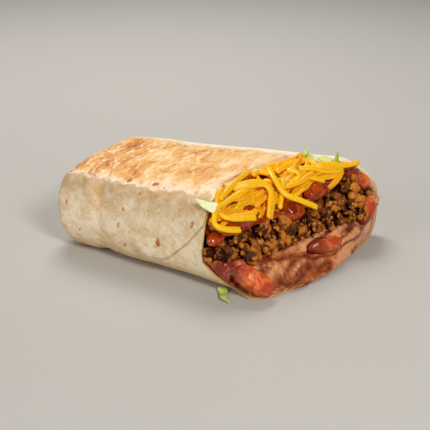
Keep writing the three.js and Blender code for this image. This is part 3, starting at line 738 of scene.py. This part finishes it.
def copy_of(thing, name):
    copy = bpy.data.objects.new(name, thing.data.copy())
    bpy.context.scene.collection.objects.link(copy)
    return named(copy, name)


def fine_copy(node, name, facet):
    """A piece in the shape of one of the solids, with small even facets."""
    piece = copy_of(nodes[node], name)
    edit(piece)
    bpy.ops.mesh.remove_doubles(threshold=0.002 * MM)
    finished()
    piece.data.remesh_voxel_size = facet * MM
    bpy.ops.object.voxel_remesh()
    return piece


def modified(piece, kind, **settings):
    """Applies one modifier to a piece."""
    only(piece)
    modifier = piece.modifiers.new(kind, kind)
    for name, value in settings.items():
        setattr(modifier, name, value)
    bpy.ops.object.modifier_apply(modifier=modifier.name)


def smoothed(piece, rounds):
    modified(piece, "SMOOTH", iterations=rounds, factor=0.5)


def thinned(piece, under_lift, keep):
    """Fewer facets where the filling runs back into the roll and can't be seen."""
    lift = face_places(corners_of(piece))[:, 2]
    hidden = piece.vertex_groups.new(name="hidden")
    hidden.add([int(i) for i in np.flatnonzero(lift < under_lift)], 1.0, "REPLACE")
    modified(piece, "DECIMATE", ratio=keep, vertex_group=hidden.name)
    piece.vertex_groups.clear()


# A layer that comes this near to the tortilla is pressed against it, the more so the nearer it is.
WALL_REACH = 4.5
WALL_REACH_AT_FLARE = 3.5
WALL_FADE = 3
INTO_WALL = 0.15
PRESSED_LIFT = (-19, -14)


def against_wall(points):
    """Presses the sides of a layer against the inside of the tortilla, and says how much each was."""
    lift = face_places(points)[:, 2]
    reach = WALL_REACH + WALL_REACH_AT_FLARE * hump(angle_of(points), FLARE_ANGLE, 2 * FLARE_SPREAD)
    moved = points.copy()
    at_wall = np.zeros(len(points))
    for number in np.flatnonzero(lift > PRESSED_LIFT[0]):
        near, _, _, distance = trees["tortilla"].find_nearest(Vector(placed(points[number])))
        gap = distance / MM
        if gap < reach[number]:
            share = smoothstep(reach[number], reach[number] - WALL_FADE, gap)
            share *= smoothstep(*PRESSED_LIFT, lift[number])
            ahead = np.array(near) / MM - SHIFT - points[number]
            moved[number] += share * ahead * (1 + INTO_WALL / max(gap, 0.5))
            at_wall[number] = share
    return moved, at_wall


def settled(piece, replaced):
    """The last steps of every piece of the filling."""
    only(piece)
    bpy.ops.object.shade_smooth()
    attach(piece, "root")
    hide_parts(replaced)


# The refried beans: a moist brown-pink paste that fills the lower half of the roll. Its face is
# smeared into long soft folds with sharp dark pits between them, and it sags onto the rim.
PASTE_PAST_RIM = 0.9
PASTE_OVER_RIM_LIFT = (-9, -5)
PASTE_SAG = (0.9, -0.45, -0.4)
PASTE_SAG_LIFT = (-5, -1)
PASTE_FLOOR = 0.35
PASTE_RIM_GAP = 0.25
PASTE_FRONT = 131.8
PASTE_FRONT_SOFTENING = 1.5
PASTE_FOLD = 2.2
PASTE_FOLD_LIFT = (-7, -1.5)
PASTE_FOLD_LEAN = math.radians(9)
PASTE_FOLD_LENGTH = 20
PASTE_FOLD_WIDTH = 4.6

paste = fine_copy("refried_beans", "refried_bean_paste", facet=0.6)
smoothed(paste, 4)
points = corners_of(paste)
lift = face_places(points)[:, 2]
points, at_wall = against_wall(points)
over_rim = at_wall * smoothstep(*PASTE_OVER_RIM_LIFT, lift)
short_of = rim_at(angle_of(points)) + PASTE_PAST_RIM - points[:, 0]
points[:, 0] += over_rim * np.clip(short_of, 0, 4)
points += np.outer(over_rim * smoothstep(*PASTE_SAG_LIFT, lift), PASTE_SAG)
across, up, _ = face_places(points).T
lean_cos, lean_sin = math.cos(PASTE_FOLD_LEAN), math.sin(PASTE_FOLD_LEAN)
drawn_across = (across * lean_cos + up * lean_sin) / PASTE_FOLD_LENGTH
drawn_up = (up * lean_cos - across * lean_sin) / PASTE_FOLD_WIDTH
drawn = np.stack([drawn_across, drawn_up, np.zeros(len(points))], axis=1)
bend = rough(points, 12, 4)[:, None] * np.array((0.3, 0.4, 0))
folds = np.minimum(1, 2.4 * np.abs(rough(drawn + bend, 1, 20))) ** 0.7
crest = 0.8 * folds + 0.4 * np.abs(rough(points, 3.4, 31))
front = smoothstep(*PASTE_FOLD_LIFT, lift)
points += np.outer(front * PASTE_FOLD * (crest - 0.7 + 0.4 * at_wall), face_out)
past_rim = smoothstep(-0.5, 0.6, points[:, 0] - rim_at(angle_of(points)))
lowest = lerp(RIM_SHEET + PASTE_RIM_GAP, PASTE_FLOOR, past_rim)
points[:, 2] = np.maximum(points[:, 2], lowest)
over_front = np.maximum(0, points[:, 0] - PASTE_FRONT)
points[:, 0] -= over_front - PASTE_FRONT_SOFTENING * np.tanh(over_front / PASTE_FRONT_SOFTENING)
move_corners(paste, points)
smoothed(paste, 1)
mark(paste, "crest", crest)
thinned(paste, under_lift=-7, keep=0.5)
settled(paste, "refried_beans")

PASTE = srgb(170, 86, 36)
PASTE_PALE_AND_HIGHLIGHT = srgb(234, 162, 110)
PASTE_SKIN = srgb(130, 50, 10)
PASTE_PIT_SHADE = srgb(92, 22, 0)
JUICE = srgb(132, 26, 2)
POCKET_DEPTH = 14
POCKETS = [
    # across, up, half sizes, turn in degrees: dark red juice between the beans and the beef
    ((-47.5, -7.5), (6, 4.2), -35),
    ((-46.8, -12.5), (4, 2.4), -40),
    ((-28.5, -10.8), (6.5, 2.4), 12),
    ((-38.5, -7.5), (3, 1.8), 0),
    ((31, -3.5), (3, 3), 0),
    ((-6, -14.2), (3, 1.2), 10),
]
mash = Finish(
    "refried_bean_mash", Roughness=0.34, Specular_IOR_Level=0.3, Subsurface_Weight=0.1,
    Subsurface_Radius=(1.0, 0.4, 0.2), Subsurface_Scale=1.0 * MM, Coat_Weight=0.5, Coat_Roughness=0.12,
)
crest = mash.value_of("crest")
soft = mash.grain(4.5, detail=4, warp=0.8)
bits = mash.grain(1.5, detail=4, warp=0.4, rougher=0.6)
juicy = None
for place, half_sizes, turn in POCKETS:
    tilt = Matrix(face_axes).transposed() @ Matrix.Rotation(math.radians(turn), 3, "Z")
    distance = mash.blot(tuple(on_face((*place, 0))), (*half_sizes, POCKET_DEPTH), tuple(tilt.to_euler()))
    pocket = 1 - (distance + 0.8 * (soft - 0.5)).step(0.6, 1.1)
    juicy = pocket if juicy is None else juicy.most(pocket)
colour = mash.layers(
    PASTE,
    # lighter paste at random, with a painted highlight on the fold crests and painted light towards the
    # far side
    ((crest * 0.6 + soft * 0.5 + mash.along("Y").step(-15, 30) * 0.3).step(0.5, 0.92), PASTE_PALE_AND_HIGHLIGHT),
    (bits.step(0.54, 0.68) * 0.6, PASTE_SKIN),
    # painted shade in the pits between the folds
    ((1 - crest.step(0.08, 0.5)) * 0.8, PASTE_PIT_SHADE),
    (juicy * 0.9, JUICE),
)
mash.on(paste, colour, mash.bump(bits, 0.6, mash.bump(mash.grain(0.6), 0.15)))


# Four whole beans lie half sunk in the paste, with tight red-brown skins that wrinkle lengthways,
# a dimple in their upper side, and an end that the juice has darkened.
BEAN_WRINKLE = 0.32
BEAN_WAVE = 0.3
BEAN_DIMPLE = 0.9
BEAN_DIMPLE_REACH = 3.2
BEAN_JUICE = (-0.1, 0.15, 0.1, 0.2)
BEAN_RED = srgb(190, 66, 16)
BEAN_ORANGE = srgb(232, 118, 58)
BEAN_DARK = srgb(116, 22, 2)
skin = Finish(
    "bean_skin", Roughness=0.4, Specular_IOR_Level=0.3, Subsurface_Weight=0.12,
    Subsurface_Radius=(1.0, 0.25, 0.1), Subsurface_Scale=1.5 * MM, Coat_Weight=0.35, Coat_Roughness=0.2,
)
blotch = skin.grain(6, detail=4, warp=0.6)
vein = skin.grain(1.1, detail=4, warp=0.8)
colour = skin.layers(
    BEAN_RED,
    ((blotch + 0.15 * (vein - 0.5)).step(0.42, 0.58), BEAN_ORANGE),
    (vein.step(0.52, 0.7) * 0.45, BEAN_RED),
    ((skin.value_of("tip") + 0.5 * (blotch - 0.5)).step(0.55, 0.95) * 0.85, BEAN_DARK),
)
relief = skin.bump(vein, 0.4)
for number, juice in enumerate(BEAN_JUICE, 1):
    node = f"whole_bean_{number}"
    bean = fine_copy(node, f"{node}_skin", facet=0.4)
    smoothed(bean, 16)
    points = corners_of(bean)
    spread = points - points.mean(axis=0)
    long_axis = np.linalg.svd(spread, full_matrices=False)[2][0]
    along_bean = spread @ long_axis
    around = spread - np.outer(along_bean, long_axis)
    wrinkle = rough(around + np.outer(along_bean * 0.28, long_axis), 1.5, 7 * number)
    dimple = np.exp(-((along_bean / BEAN_DIMPLE_REACH) ** 2)) * smoothstep(0.2, 1, around @ face_up / 4)
    swell = BEAN_WRINKLE * wrinkle + BEAN_WAVE * rough(points, 4.5, number) - BEAN_DIMPLE * dimple
    move_corners(bean, points + unit(spread) * swell[:, None])
    from_end = along_bean * (-1 if long_axis @ face_across > 0 else 1) / np.abs(along_bean).max()
    mark(bean, "tip", 0.5 + 0.5 * from_end + juice)
    settled(bean, node)
    skin.on(bean, colour, relief)


def raised(piece, height, lifts):
    """Moves the face of a layer out, from none at the first lift to all of the height at the last."""
    points = corners_of(piece)
    front = smoothstep(*lifts, face_places(points)[:, 2])
    move_corners(piece, points + np.outer(front * height, face_out))


def pressed_back(piece, depth):
    """Moves the face of a layer back into the roll, to make room for the loose bits on it."""
    raised(piece, -depth, (-9, -2))


def lift_of(node, across, up):
    """How far a solid stands out of the face at a place on it, or None where it isn't there."""
    start = Vector(placed(on_face((across, up, 40))))
    hit = trees[node].ray_cast(start, Vector(-face_out))[0]
    return None if hit is None else face_places(np.array(hit) / MM - SHIFT)[2]


def front_node(across, up):
    """The solid that is in front at a place on the face, and its lift."""
    lifts = {node: lift_of(node, across, up) for node in trees}
    lifts = {node: lift for node, lift in lifts.items() if lift is not None}
    node = max(lifts, key=lifts.get, default=None)
    return node, lifts.get(node)


def joined(name, pieces):
    only(*pieces)
    bpy.ops.object.join()
    return named(pieces[0], name)


def clump(name, rings, knobs, seed):
    """A knobbly lump about 1 across: rounded knobs that meet in sharp creases."""
    bpy.ops.mesh.primitive_ico_sphere_add(subdivisions=rings, radius=1)
    lump = bpy.context.object
    lump.name = name
    rng = np.random.default_rng(seed)
    towards = unit(rng.normal(size=(knobs, 3)))
    sizes = rng.uniform(0.55, 1, knobs)
    out = np.array([corner.co for corner in lump.data.vertices])
    angles = np.arccos(np.clip(out @ towards.T, -1, 1)) / (1.75 * sizes / knobs**0.33)
    knob = (np.sqrt(np.clip(1 - angles**2, 0, 1)) * sizes).max(axis=1)
    stretch = rng.uniform(0.62, 1.25, 3)
    lumpy = 0.16 * rough(out, 0.5, seed) + 0.2 * rough(out, 0.2, seed)
    shaped = out * (0.44 + 0.56 * knob + lumpy)[:, None] * stretch
    lump.data.vertices.foreach_set("co", shaped.astype(np.float32).ravel())
    mark(lump, "knob", knob)
    return lump


def scattered(name, kinds, places, rng):
    """Copies of small things at places of the burrito, each turned at random, with its own value for its
    tone and painted shade.
    """
    pieces = []
    for number, (place, size, tone_and_shade) in enumerate(places):
        piece = copy_of(kinds[number % len(kinds)], name)
        turn = Vector(rng.normal(size=4)).normalized()
        spin = Matrix.Rotation(rng.uniform(0, 2 * math.pi), 4, turn.to_3d().normalized())
        there = Matrix.Translation(Vector(placed(place)))
        piece.data.transform(there @ spin @ Matrix.Scale(size * MM, 4))
        mark(piece, "tone_and_shade", tone_and_shade)
        pieces.append(piece)
    for kind in kinds:
        bpy.data.objects.remove(kind)
    return joined(name, pieces)


# The ground beef: a bed of browned crumbs with dark gaps. Each crumb is a knobbly clump of short
# strands, wet with fat, and smaller bits and grains have come off them. They lie over a plain bed.
BEEF_ACROSS = (-57, 52)
BEEF_UP = (-14, 20)
BEEF_LOWEST_LIFT = -15
BEEF_BED_DEPTH = 3.6
SAUCE_BLOB_SIDE = -40
SAUCE_BLOB_GAP = 1.6
SCATTER = 0.35
HEAPS = [
    # name, kinds, rounds of facets, knobs, steps across and up, sizes, most, shares of a size sunk in
    ("beef_crumbs", 9, 4, 12, (6.0, 4.8), (3.0, 4.9), 140, (0.1, 0.85)),
    ("beef_bits", 6, 3, 6, (4.4, 3.8), (1.4, 2.6), 110, (0.2, 1.4)),
    ("beef_grains", 6, 2, 4, (4.2, 3.6), (0.5, 1.0), 90, (-1.5, 1.0)),
]
LIP_CRUMBS = [
    # across, up, lift, size: crumbs that lie against the near lip
    (-50.2, 2, -6.2, 2.9), (-49.8, 0.2, -7, 3), (-47, -1.8, -4.8, 3.7), (-46.5, 2.6, -1.4, 3.3),
    (-43.5, -3.6, -2, 3.4),
]


def beef_places(step, sizes, most, sunk, rng):
    """Places for crumbs in staggered rows, wherever the beef shows, with their sizes and a tone that is
    darker the deeper a crumb is sunk, as painted shade.
    """
    places = []
    for row, up in enumerate(np.arange(*BEEF_UP, step[1])):
        for across in np.arange(*BEEF_ACROSS, step[0]):
            a = across + (row % 2) * step[0] / 2 + rng.uniform(-SCATTER, SCATTER) * step[0]
            b = up + rng.uniform(-SCATTER, SCATTER) * step[1]
            node, lift = front_node(a, b)
            size = rng.uniform(*sizes)
            by_the_blob = a < SAUCE_BLOB_SIDE and front_node(a, b + SAUCE_BLOB_GAP)[0] == "red_sauce"
            if node == "ground_beef" and lift > BEEF_LOWEST_LIFT and not by_the_blob:
                depth = rng.uniform(0, 1)
                places.append((on_face((a, b, lift - lerp(*sunk, depth) * size)), size, 1 - depth))
    rng.shuffle(places)
    return places[:most]


bed = fine_copy("ground_beef", "beef_bed", facet=0.9)
smoothed(bed, 3)
move_corners(bed, against_wall(corners_of(bed))[0])
pressed_back(bed, BEEF_BED_DEPTH)
thinned(bed, under_lift=-7, keep=0.4)
settled(bed, "ground_beef")
rng = np.random.default_rng(12)
beef = []
for name, count, rings, knobs, step, sizes, most, sunk in HEAPS:
    kinds = [clump(f"{name}_kind", rings, knobs, 20 * len(beef) + kind) for kind in range(count)]
    places = beef_places(step, sizes, most, sunk, rng)
    if name == "beef_crumbs":
        by_lip = [(on_face(place), size, rng.uniform(0.3, 1)) for *place, size in LIP_CRUMBS]
        places = by_lip + places[: most - len(LIP_CRUMBS)]
    beef.append(scattered(name, kinds, places, rng))
    settled(beef[-1], "ground_beef")

BEEF_BROWN = srgb(142, 70, 10)
BEEF_TAN = srgb(208, 124, 32)
BEEF_SHADE_DARK = srgb(40, 13, 2)
BEEF_SUNK_SHADE = srgb(82, 36, 6)
meat = Finish(
    "browned_beef", Roughness=0.5, Specular_IOR_Level=0.25, Coat_Weight=0.14, Coat_Roughness=0.22
)
fibre = meat.grain(0.8, detail=3, warp=0.6)
tone_and_shade = meat.value_of("tone_and_shade")
colour = meat.layers(
    BEEF_BROWN,
    # lighter where the grain is high, and painted light on crumbs that stand out of the bed
    ((tone_and_shade * 0.5 + fibre * 0.9).step(0.45, 1.0), BEEF_TAN),
    # painted shade in the creases between a crumb's knobs
    ((1 - meat.value_of("knob").step(0.1, 0.7)) * 0.9, BEEF_SHADE_DARK),
    # painted shade: crumbs sunk deeper into the bed are darker
    ((1 - tone_and_shade.step(0, 0.75)) * 0.7, BEEF_SUNK_SHADE),
)
relief = meat.bump(fibre, 0.5)
for piece in beef:
    meat.on(piece, colour, relief)
bed_meat = Finish("beef_in_the_shade", Roughness=0.7, Specular_IOR_Level=0.1)
lumps = bed_meat.grain(2.2, detail=3, warp=0.5)
colour = bed_meat.layers(BEEF_SHADE_DARK, (lumps.step(0.5, 0.8) * 0.4, BEEF_BROWN))
bed_meat.on(bed, colour, bed_meat.bump(lumps, 1.2))


# The red sauce: a thin glossy pool between the beef and the cheese, with rounded blobs that have run
# out over the beef.
SAUCE_SWELL = 0.9
SAUCE_WAVE = 0.4
SAUCE_SWELL_LIFT = (-6, -1)
sauce = fine_copy("red_sauce", "red_sauce_pool", facet=0.5)
smoothed(sauce, 10)
raised(sauce, SAUCE_SWELL + SAUCE_WAVE * rough(corners_of(sauce), 3.2, 8), SAUCE_SWELL_LIFT)
thinned(sauce, under_lift=-6, keep=0.3)
settled(sauce, "red_sauce")

SAUCE_RED = srgb(184, 70, 0)
SAUCE_DEEP = srgb(116, 28, 0)
glaze = Finish(
    "chilli_sauce", Roughness=0.16, Specular_IOR_Level=0.3, Subsurface_Weight=0.05,
    Subsurface_Radius=(1.0, 0.3, 0.06), Subsurface_Scale=1.2 * MM, Coat_Weight=0.5, Coat_Roughness=0.05,
)
pulp = glaze.grain(4, detail=3, warp=0.4)
colour = glaze.layers(SAUCE_RED, (pulp.step(0.35, 0.68), SAUCE_DEEP))
glaze.on(sauce, colour, glaze.bump(pulp, 0.25))


def smooth_route(route, spacing):
    """Points at an even spacing on a smooth line through the stops of a route."""
    stops = np.array(route, float)
    ends = np.vstack([2 * stops[0] - stops[1], stops, 2 * stops[-1] - stops[-2]])
    t = np.linspace(0, 1, 16, endpoint=False)[:, None]
    spans = [
        0.5 * (2 * b + (c - a) * t + (2 * a - 5 * b + 4 * c - d) * t**2 + (3 * b - a - 3 * c + d) * t**3)
        for a, b, c, d in zip(ends, ends[1:], ends[2:], ends[3:])
    ]
    line = np.vstack([*spans, stops[-1:]])
    length = lengths(line)
    at = np.linspace(0, length[-1], max(4, round(length[-1] / spacing)))
    return np.stack([np.interp(at, length, line[:, k]) for k in range(3)], axis=1), at


def axes_along(line, facing, twist):
    """The sideways and outward directions of a strip along a line."""
    ahead = unit(np.gradient(line, axis=0))
    side = unit(np.cross(ahead, facing))
    out = np.cross(side, ahead)
    turn = np.radians(np.asarray(twist, float))[:, None]
    return side * np.cos(turn) + out * np.sin(turn), out * np.cos(turn) - side * np.sin(turn)


def closed_strip(name, rings):
    """A strip of closed rings of points, with its seam and its ends merged shut."""
    piece = grid_piece(name, np.concatenate([rings, rings[:, :1]], axis=1))
    closed(piece, gap=0.015)
    return piece


# The cheddar: a loose heap of grated shreds. Each shred is a soft strip about 3 mm wide with rounded
# edges and blunt ends, bent over the ones under it. A bed of shreds in the shade lies below.
SHRED_SPACING = 0.7
SHRED_SIDES = 14
SHRED_THICKNESS = 1.9
SHRED_BLUNT = 1.1
SHRED_TWIST = 22
SHRED_ROUTES = [
    # width, then stops across the face, up it and off it
    (2.9, (-37, 17.2, 3), (-43.6, 15.8, 4.6), (-48.7, 9.8, 5), (-45.6, 6.1, 5), (-37.3, 3.7, 4.4)),
    (2.6, (-43.4, 13.8, 4), (-42.7, 10.8, 5.4), (-37, 8.2, 5.4), (-27.2, 6.7, 4.8)),
    (2.6, (-39.1, 12, 3.4), (-34.6, 9.6, 4.6), (-25, 9.2, 4.6)),
    (2.6, (-46.2, 15.1, 5.4), (-39.7, 16.7, 5), (-25.2, 19.8, 4.4), (-18.5, 20.4, 3.4)),
    (2.8, (-41.5, 18.7, 5.4), (-37.6, 20.5, 5), (-27.3, 24.9, 3.3), (-13.7, 29.9, -2.2)),
    (3.7, (-31, 22, 3), (-24.5, 21.8, 5), (-16.4, 20, 6), (-14.5, 15.4, 6), (-17.3, 10, 5.4),
     (-20.7, 4.3, 4.2)),
    (3.2, (-3.9, 28.5, -0.7), (-8.9, 20.2, 5.4), (-8.6, 12.8, 6.6), (-2.2, 7.9, 6.4), (6.7, 2.8, 4.6)),
    (2.6, (-3.9, 19.7, 5), (-7.5, 15, 5.2), (-13.2, 7.2, 4.2)),
    (2.6, (-7.9, 17.2, 3), (-2.9, 15.9, 5), (4.7, 16.3, 5), (14.9, 19.2, 4)),
    (2.6, (-16.1, 26.5, 1.5), (-3.9, 28.5, -0.7), (7.5, 28.9, -1.1), (20.5, 30.4, -2.7)),
    (3, (-4.2, 24.4, 3), (6.4, 26.3, 1.7), (15.9, 26, 2), (18.7, 20.9, 5), (32.3, 16.9, 4)),
    (2.8, (20.4, 22.5, 3.2), (31, 18.6, 4.6), (37.9, 17.3, 4.8), (42.7, 17.8, 4.6)),
    (2.6, (7.8, 22.6, 3.4), (14.9, 21.1, 4.4), (22.5, 17.2, 4.4), (30.7, 16.1, 3.8)),
    (2.4, (1.1, 23.6, 3.4), (4.8, 21.3, 4.8), (4.3, 18.2, 5), (-2.1, 17.2, 4.2)),
    (2.4, (8.2, 19, 3.2), (12.1, 16.6, 4.4), (18.5, 13.3, 4)),
    (2.6, (-30.4, 17.9, 2), (-24, 14, 2.6), (-14.7, 14.1, 2.6)),
    (2.4, (-37.3, 12.9, 2.2), (-33.7, 13.7, 3.4), (-29.3, 16.2, 3)),
    (2.6, (-25.1, 17.9, 2.4), (-16.8, 16.9, 3), (-6.5, 18, 2.6)),
    (2.6, (-14.2, 28.3, -0.5), (-10.1, 26.6, 1.4), (-5.4, 22.5, 3.2)),
    (2.2, (-36.8, 23.6, 5), (-40.6, 20.9, 5.4), (-43.6, 17.3, 4.4)),
    (1.8, (-5, 11.7, 4.4), (-0.8, 11.2, 4.8), (4.6, 13.3, 4.6)),
    (2.2, (-32.3, 26, 2), (-32.3, 22.5, 4.2)),
]
HEAP_COUNT = 58
HEAP_ACROSS = (-46, 32)
HEAP_MIDDLE = [(-46, 12), (-30, 15), (-10, 19), (10, 21.5), (30, 19)]
HEAP_HALF_LENGTH = (7, 12)
HEAP_TWIST = 30
HEAP_LIFTS = (-5, 3.2)
CHEESE_BED_DEPTH = 2.6


def shred(route, width, thickness, twist, seed):
    """One shred: rings in the shape of a rounded strip along its route on the face."""
    line, at = smooth_route([on_face(stop) for stop in route], SHRED_SPACING)
    blunt = np.minimum(1, np.minimum(at, at[-1] - at) / SHRED_BLUNT)
    blunt = (1 - (1 - blunt) ** 3) ** (1 / 3)
    side, out = axes_along(line, face_out, twist * np.sin(at / at[-1] * 3 + seed))
    wide = 0.5 * width * blunt * (1 + 0.12 * np.sin(at / 3.1 + seed))
    thick = 0.5 * thickness * blunt * (1 + 0.12 * np.sin(at / 2.3 + 2 * seed))
    turn = np.linspace(0, 2 * math.pi, SHRED_SIDES, endpoint=False)
    rounded = (np.abs(np.cos(turn)) ** 3 + np.abs(np.sin(turn)) ** 3) ** (-1 / 3)
    sideways = (side * wide[:, None])[:, None] * (rounded * np.cos(turn))[:, None]
    outwards = (out * thick[:, None])[:, None] * (rounded * np.sin(turn))[:, None]
    return closed_strip("shred", line[:, None] + sideways + outwards)


def heap_route(rng):
    """A long, slightly bent route that lies on the heap of cheese, or None where it would hang over."""
    across = rng.uniform(*HEAP_ACROSS)
    middle = np.interp(across, *zip(*HEAP_MIDDLE))
    centre = np.array((across, middle + rng.uniform(-6, 6)))
    angle = rng.normal(0.25, 0.42)
    half = rng.uniform(*HEAP_HALF_LENGTH)
    ahead = np.array((math.cos(angle), math.sin(angle)))
    bow = np.array((-ahead[1], ahead[0])) * rng.uniform(-2.5, 2.5)
    depth = rng.uniform(-1.2, 0.9)
    stops = []
    for share in (-1, -0.4, 0.3, 1):
        spot = centre + half * share * ahead + bow * (1 - share**2)
        lift = lift_of("cheddar", *spot)
        if lift is None or lift < HEAP_LIFTS[0]:
            return None
        stops.append((*spot, min(HEAP_LIFTS[1], lift) + depth))
    return stops


rng = np.random.default_rng(5)
strips = []
for number, (width, *route) in enumerate(SHRED_ROUTES):
    strips.append(shred(route, width, SHRED_THICKNESS, SHRED_TWIST, number))
while len(strips) < len(SHRED_ROUTES) + HEAP_COUNT:
    route = heap_route(rng)
    if route is not None:
        width, thickness = rng.uniform(2, 2.7), rng.uniform(1.4, 1.8)
        strips.append(shred(route, width, thickness, HEAP_TWIST, rng.uniform(0, 6)))
for number, strip in enumerate(strips):
    # a random tone for each shred, raised for the filler shreds that lie lower in the heap, as painted
    # shade
    mark(strip, "tone_and_shade", rng.uniform(0, 0.6) + 0.5 * (number >= len(SHRED_ROUTES)))
cheese = joined("cheddar_shreds", strips)
settled(cheese, "cheddar")
under_cheese = fine_copy("cheddar", "cheddar_bed", facet=0.8)
pressed_back(under_cheese, CHEESE_BED_DEPTH)
smoothed(under_cheese, 2)
thinned(under_cheese, under_lift=-7, keep=0.4)
settled(under_cheese, "cheddar")

CHEESE_YELLOW = srgb(255, 198, 20)
CHEESE_ORANGE = srgb(253, 178, 6)
CHEESE_DEEP_SHADE = srgb(232, 136, 2)
CHEESE_SHADE = srgb(196, 100, 0)
curd = Finish(
    "grated_cheddar", Roughness=0.34, Specular_IOR_Level=0.35, Subsurface_Weight=0.25,
    Subsurface_Radius=(1.0, 0.55, 0.12), Subsurface_Scale=1.6 * MM, Coat_Weight=0.2, Coat_Roughness=0.25,
)
tone_and_shade = curd.value_of("tone_and_shade")
milky = curd.grain(2.5, detail=3)
colour = curd.layers(
    CHEESE_YELLOW,
    # more orange at random, and deep orange as painted shade on the lower filler shreds
    ((tone_and_shade * 0.7 + milky * 0.6).step(0.3, 0.85), CHEESE_ORANGE),
    ((tone_and_shade + 0.5 * (milky - 0.5)).step(0.6, 1.3) * 0.6, CHEESE_DEEP_SHADE),
)
relief = curd.bump(curd.grain(0.6, detail=2), 0.1, curd.bump(milky, 0.3))
curd.on(cheese, colour, relief)
shaded_curd = Finish("cheddar_in_the_shade", Roughness=0.5)
strands = shaded_curd.grain(2.0, detail=2, stretch=(1, 3, 0.6), warp=0.6)
colour = shaded_curd.layers(CHEESE_SHADE, (strands.step(0.4, 0.7), CHEESE_DEEP_SHADE))
shaded_curd.on(under_cheese, colour, shaded_curd.bump(strands, 1.2))


# The lettuce: shredded iceberg, thin and crisp, pale green at the frilled edges and nearly white at
# the ribs. It lies over the cheese, and tips of it stand out of the open end.
LEAF_THICKNESS = 0.45
LEAF_SPACING = 0.35
LEAF_COLUMNS = 15
LEAF_BED_LIFT = 1.5
LEAF_BED_DEPTH = 0.8
LEAVES = {
    # by node: width, facing, ruffle, paleness, then the stops of each strip
    "lettuce": [
        (3.2, (0.5, -0.8, 0.2), 0.2, -0.3,
         (99.8, 24.6, 33.5), (100.5, 26.8, 38.8), (101.3, 27.8, 42), (99.8, 28.6, 44.4)),
        (6.6, (0.35, -0.8, 0.5), 0.5, 0.6, (98.8, 25, 36.5), (102.6, 28.4, 38.9), (108.4, 28.8, 38.6)),
        (6, (0.45, -0.8, 0.4), 0.8, 0.4, (105, 29.5, 35.8), (109, 31.8, 38.2), (113.4, 33.6, 37)),
        (4.8, (0.5, -0.8, 0.2), 0.3, -0.2, (112, 30.5, 33), (113.4, 33, 37.6), (114.5, 32.8, 43)),
    ],
    "lettuce_left_tip": [
        (5, (0.3, -0.6, 0.7), 0.12, 0.9, (89.8, -42, 36.6), (85.4, -42.8, 37.6), (80.4, -42.6, 39.5)),
    ],
    "lettuce_right_tip": [
        (3, (0.6, -0.6, 0.4), 0.2, 0.5, (121.1, 43.4, 32.2), (121.6, 43.9, 33), (121.9, 44.1, 34.2)),
    ],
    "lettuce_foot": [
        (4.4, (0, 0, 1), 0.25, 0.2,
         (92.6, -41.4, 0.9), (94.7, -44.8, 1), (97.3, -50.2, 1), (102, -53.2, 1)),
    ],
}


def leaf(seed, width, facing, ruffle, paleness, *route):
    """One strip of lettuce: thin closed rings along its route that narrow to its tip."""
    line, at = smooth_route(route, LEAF_SPACING)
    side, out = axes_along(line, facing, np.zeros(len(at)))
    along = at / at[-1]
    taper = np.maximum(0.02, 1 - along**1.5) ** 0.9
    half = 0.5 * width * taper * (1 + 0.3 * ruffle * np.sin(13 * along + seed))
    over = np.linspace(-1, 1, LEAF_COLUMNS)
    v = np.concatenate([over, over[::-1][1:-1]])
    face = np.repeat((1, -1), (LEAF_COLUMNS, LEAF_COLUMNS - 2))
    edge = face * (1 - np.abs(v) ** 6) * LEAF_THICKNESS / 2
    wave = np.sin(9 * along[:, None] + 2.5 * v + seed) + 0.5 * np.sin(23 * along[:, None] + seed)
    lifted = ruffle * wave * np.abs(v) ** 1.6 * np.sin(math.pi * np.minimum(1, along * 3)[:, None] / 2)
    rings = line[:, None] + side[:, None] * (half[:, None] * v)[..., None]
    blade = closed_strip("leaf", rings + out[:, None] * (lifted + edge)[..., None])
    mark(blade, "pale", paleness)
    return blade


leaves = []
for node, strips in LEAVES.items():
    blades = [leaf(seed, *strip) for seed, strip in enumerate(strips)]
    leaves.append(joined("lettuce_tips" if node == "lettuce" else f"{node}_leaf", blades))
    settled(leaves[-1], node)
under_leaf = fine_copy("lettuce", "lettuce_bed", facet=0.6)
edit(under_leaf)
cut = placed(on_face((0, 0, LEAF_BED_LIFT)))
bpy.ops.mesh.bisect(plane_co=cut, plane_no=face_out, use_fill=True, clear_outer=True)
finished()
pressed_back(under_leaf, LEAF_BED_DEPTH)
thinned(under_leaf, under_lift=-6, keep=0.3)
settled(under_leaf, "lettuce")
leaves.append(under_leaf)

LEAF_GREEN = srgb(150, 196, 44)
LEAF_PALE = srgb(212, 228, 120)
LEAF_WHITE = srgb(244, 248, 206)
crisp_leaf = Finish(
    "iceberg_leaf", Roughness=0.35, Subsurface_Weight=0.3, Subsurface_Radius=(0.8, 1.0, 0.3),
    Subsurface_Scale=0.8 * MM, Coat_Weight=0.25, Coat_Roughness=0.2,
)
cells = crisp_leaf.grain(1.0, detail=3)
broad = crisp_leaf.grain(3.4, detail=2)
pale = crisp_leaf.value_of("pale")
colour = crisp_leaf.layers(
    LEAF_GREEN,
    ((broad + 0.3 * pale).step(0.44, 0.62), LEAF_PALE),
    ((0.6 * cells + 0.4 * broad + 0.35 * pale).step(0.62, 0.8) * 0.85, LEAF_WHITE),
)
relief = crisp_leaf.bump(cells, 0.3)
for piece in leaves:
    crisp_leaf.on(piece, colour, relief)
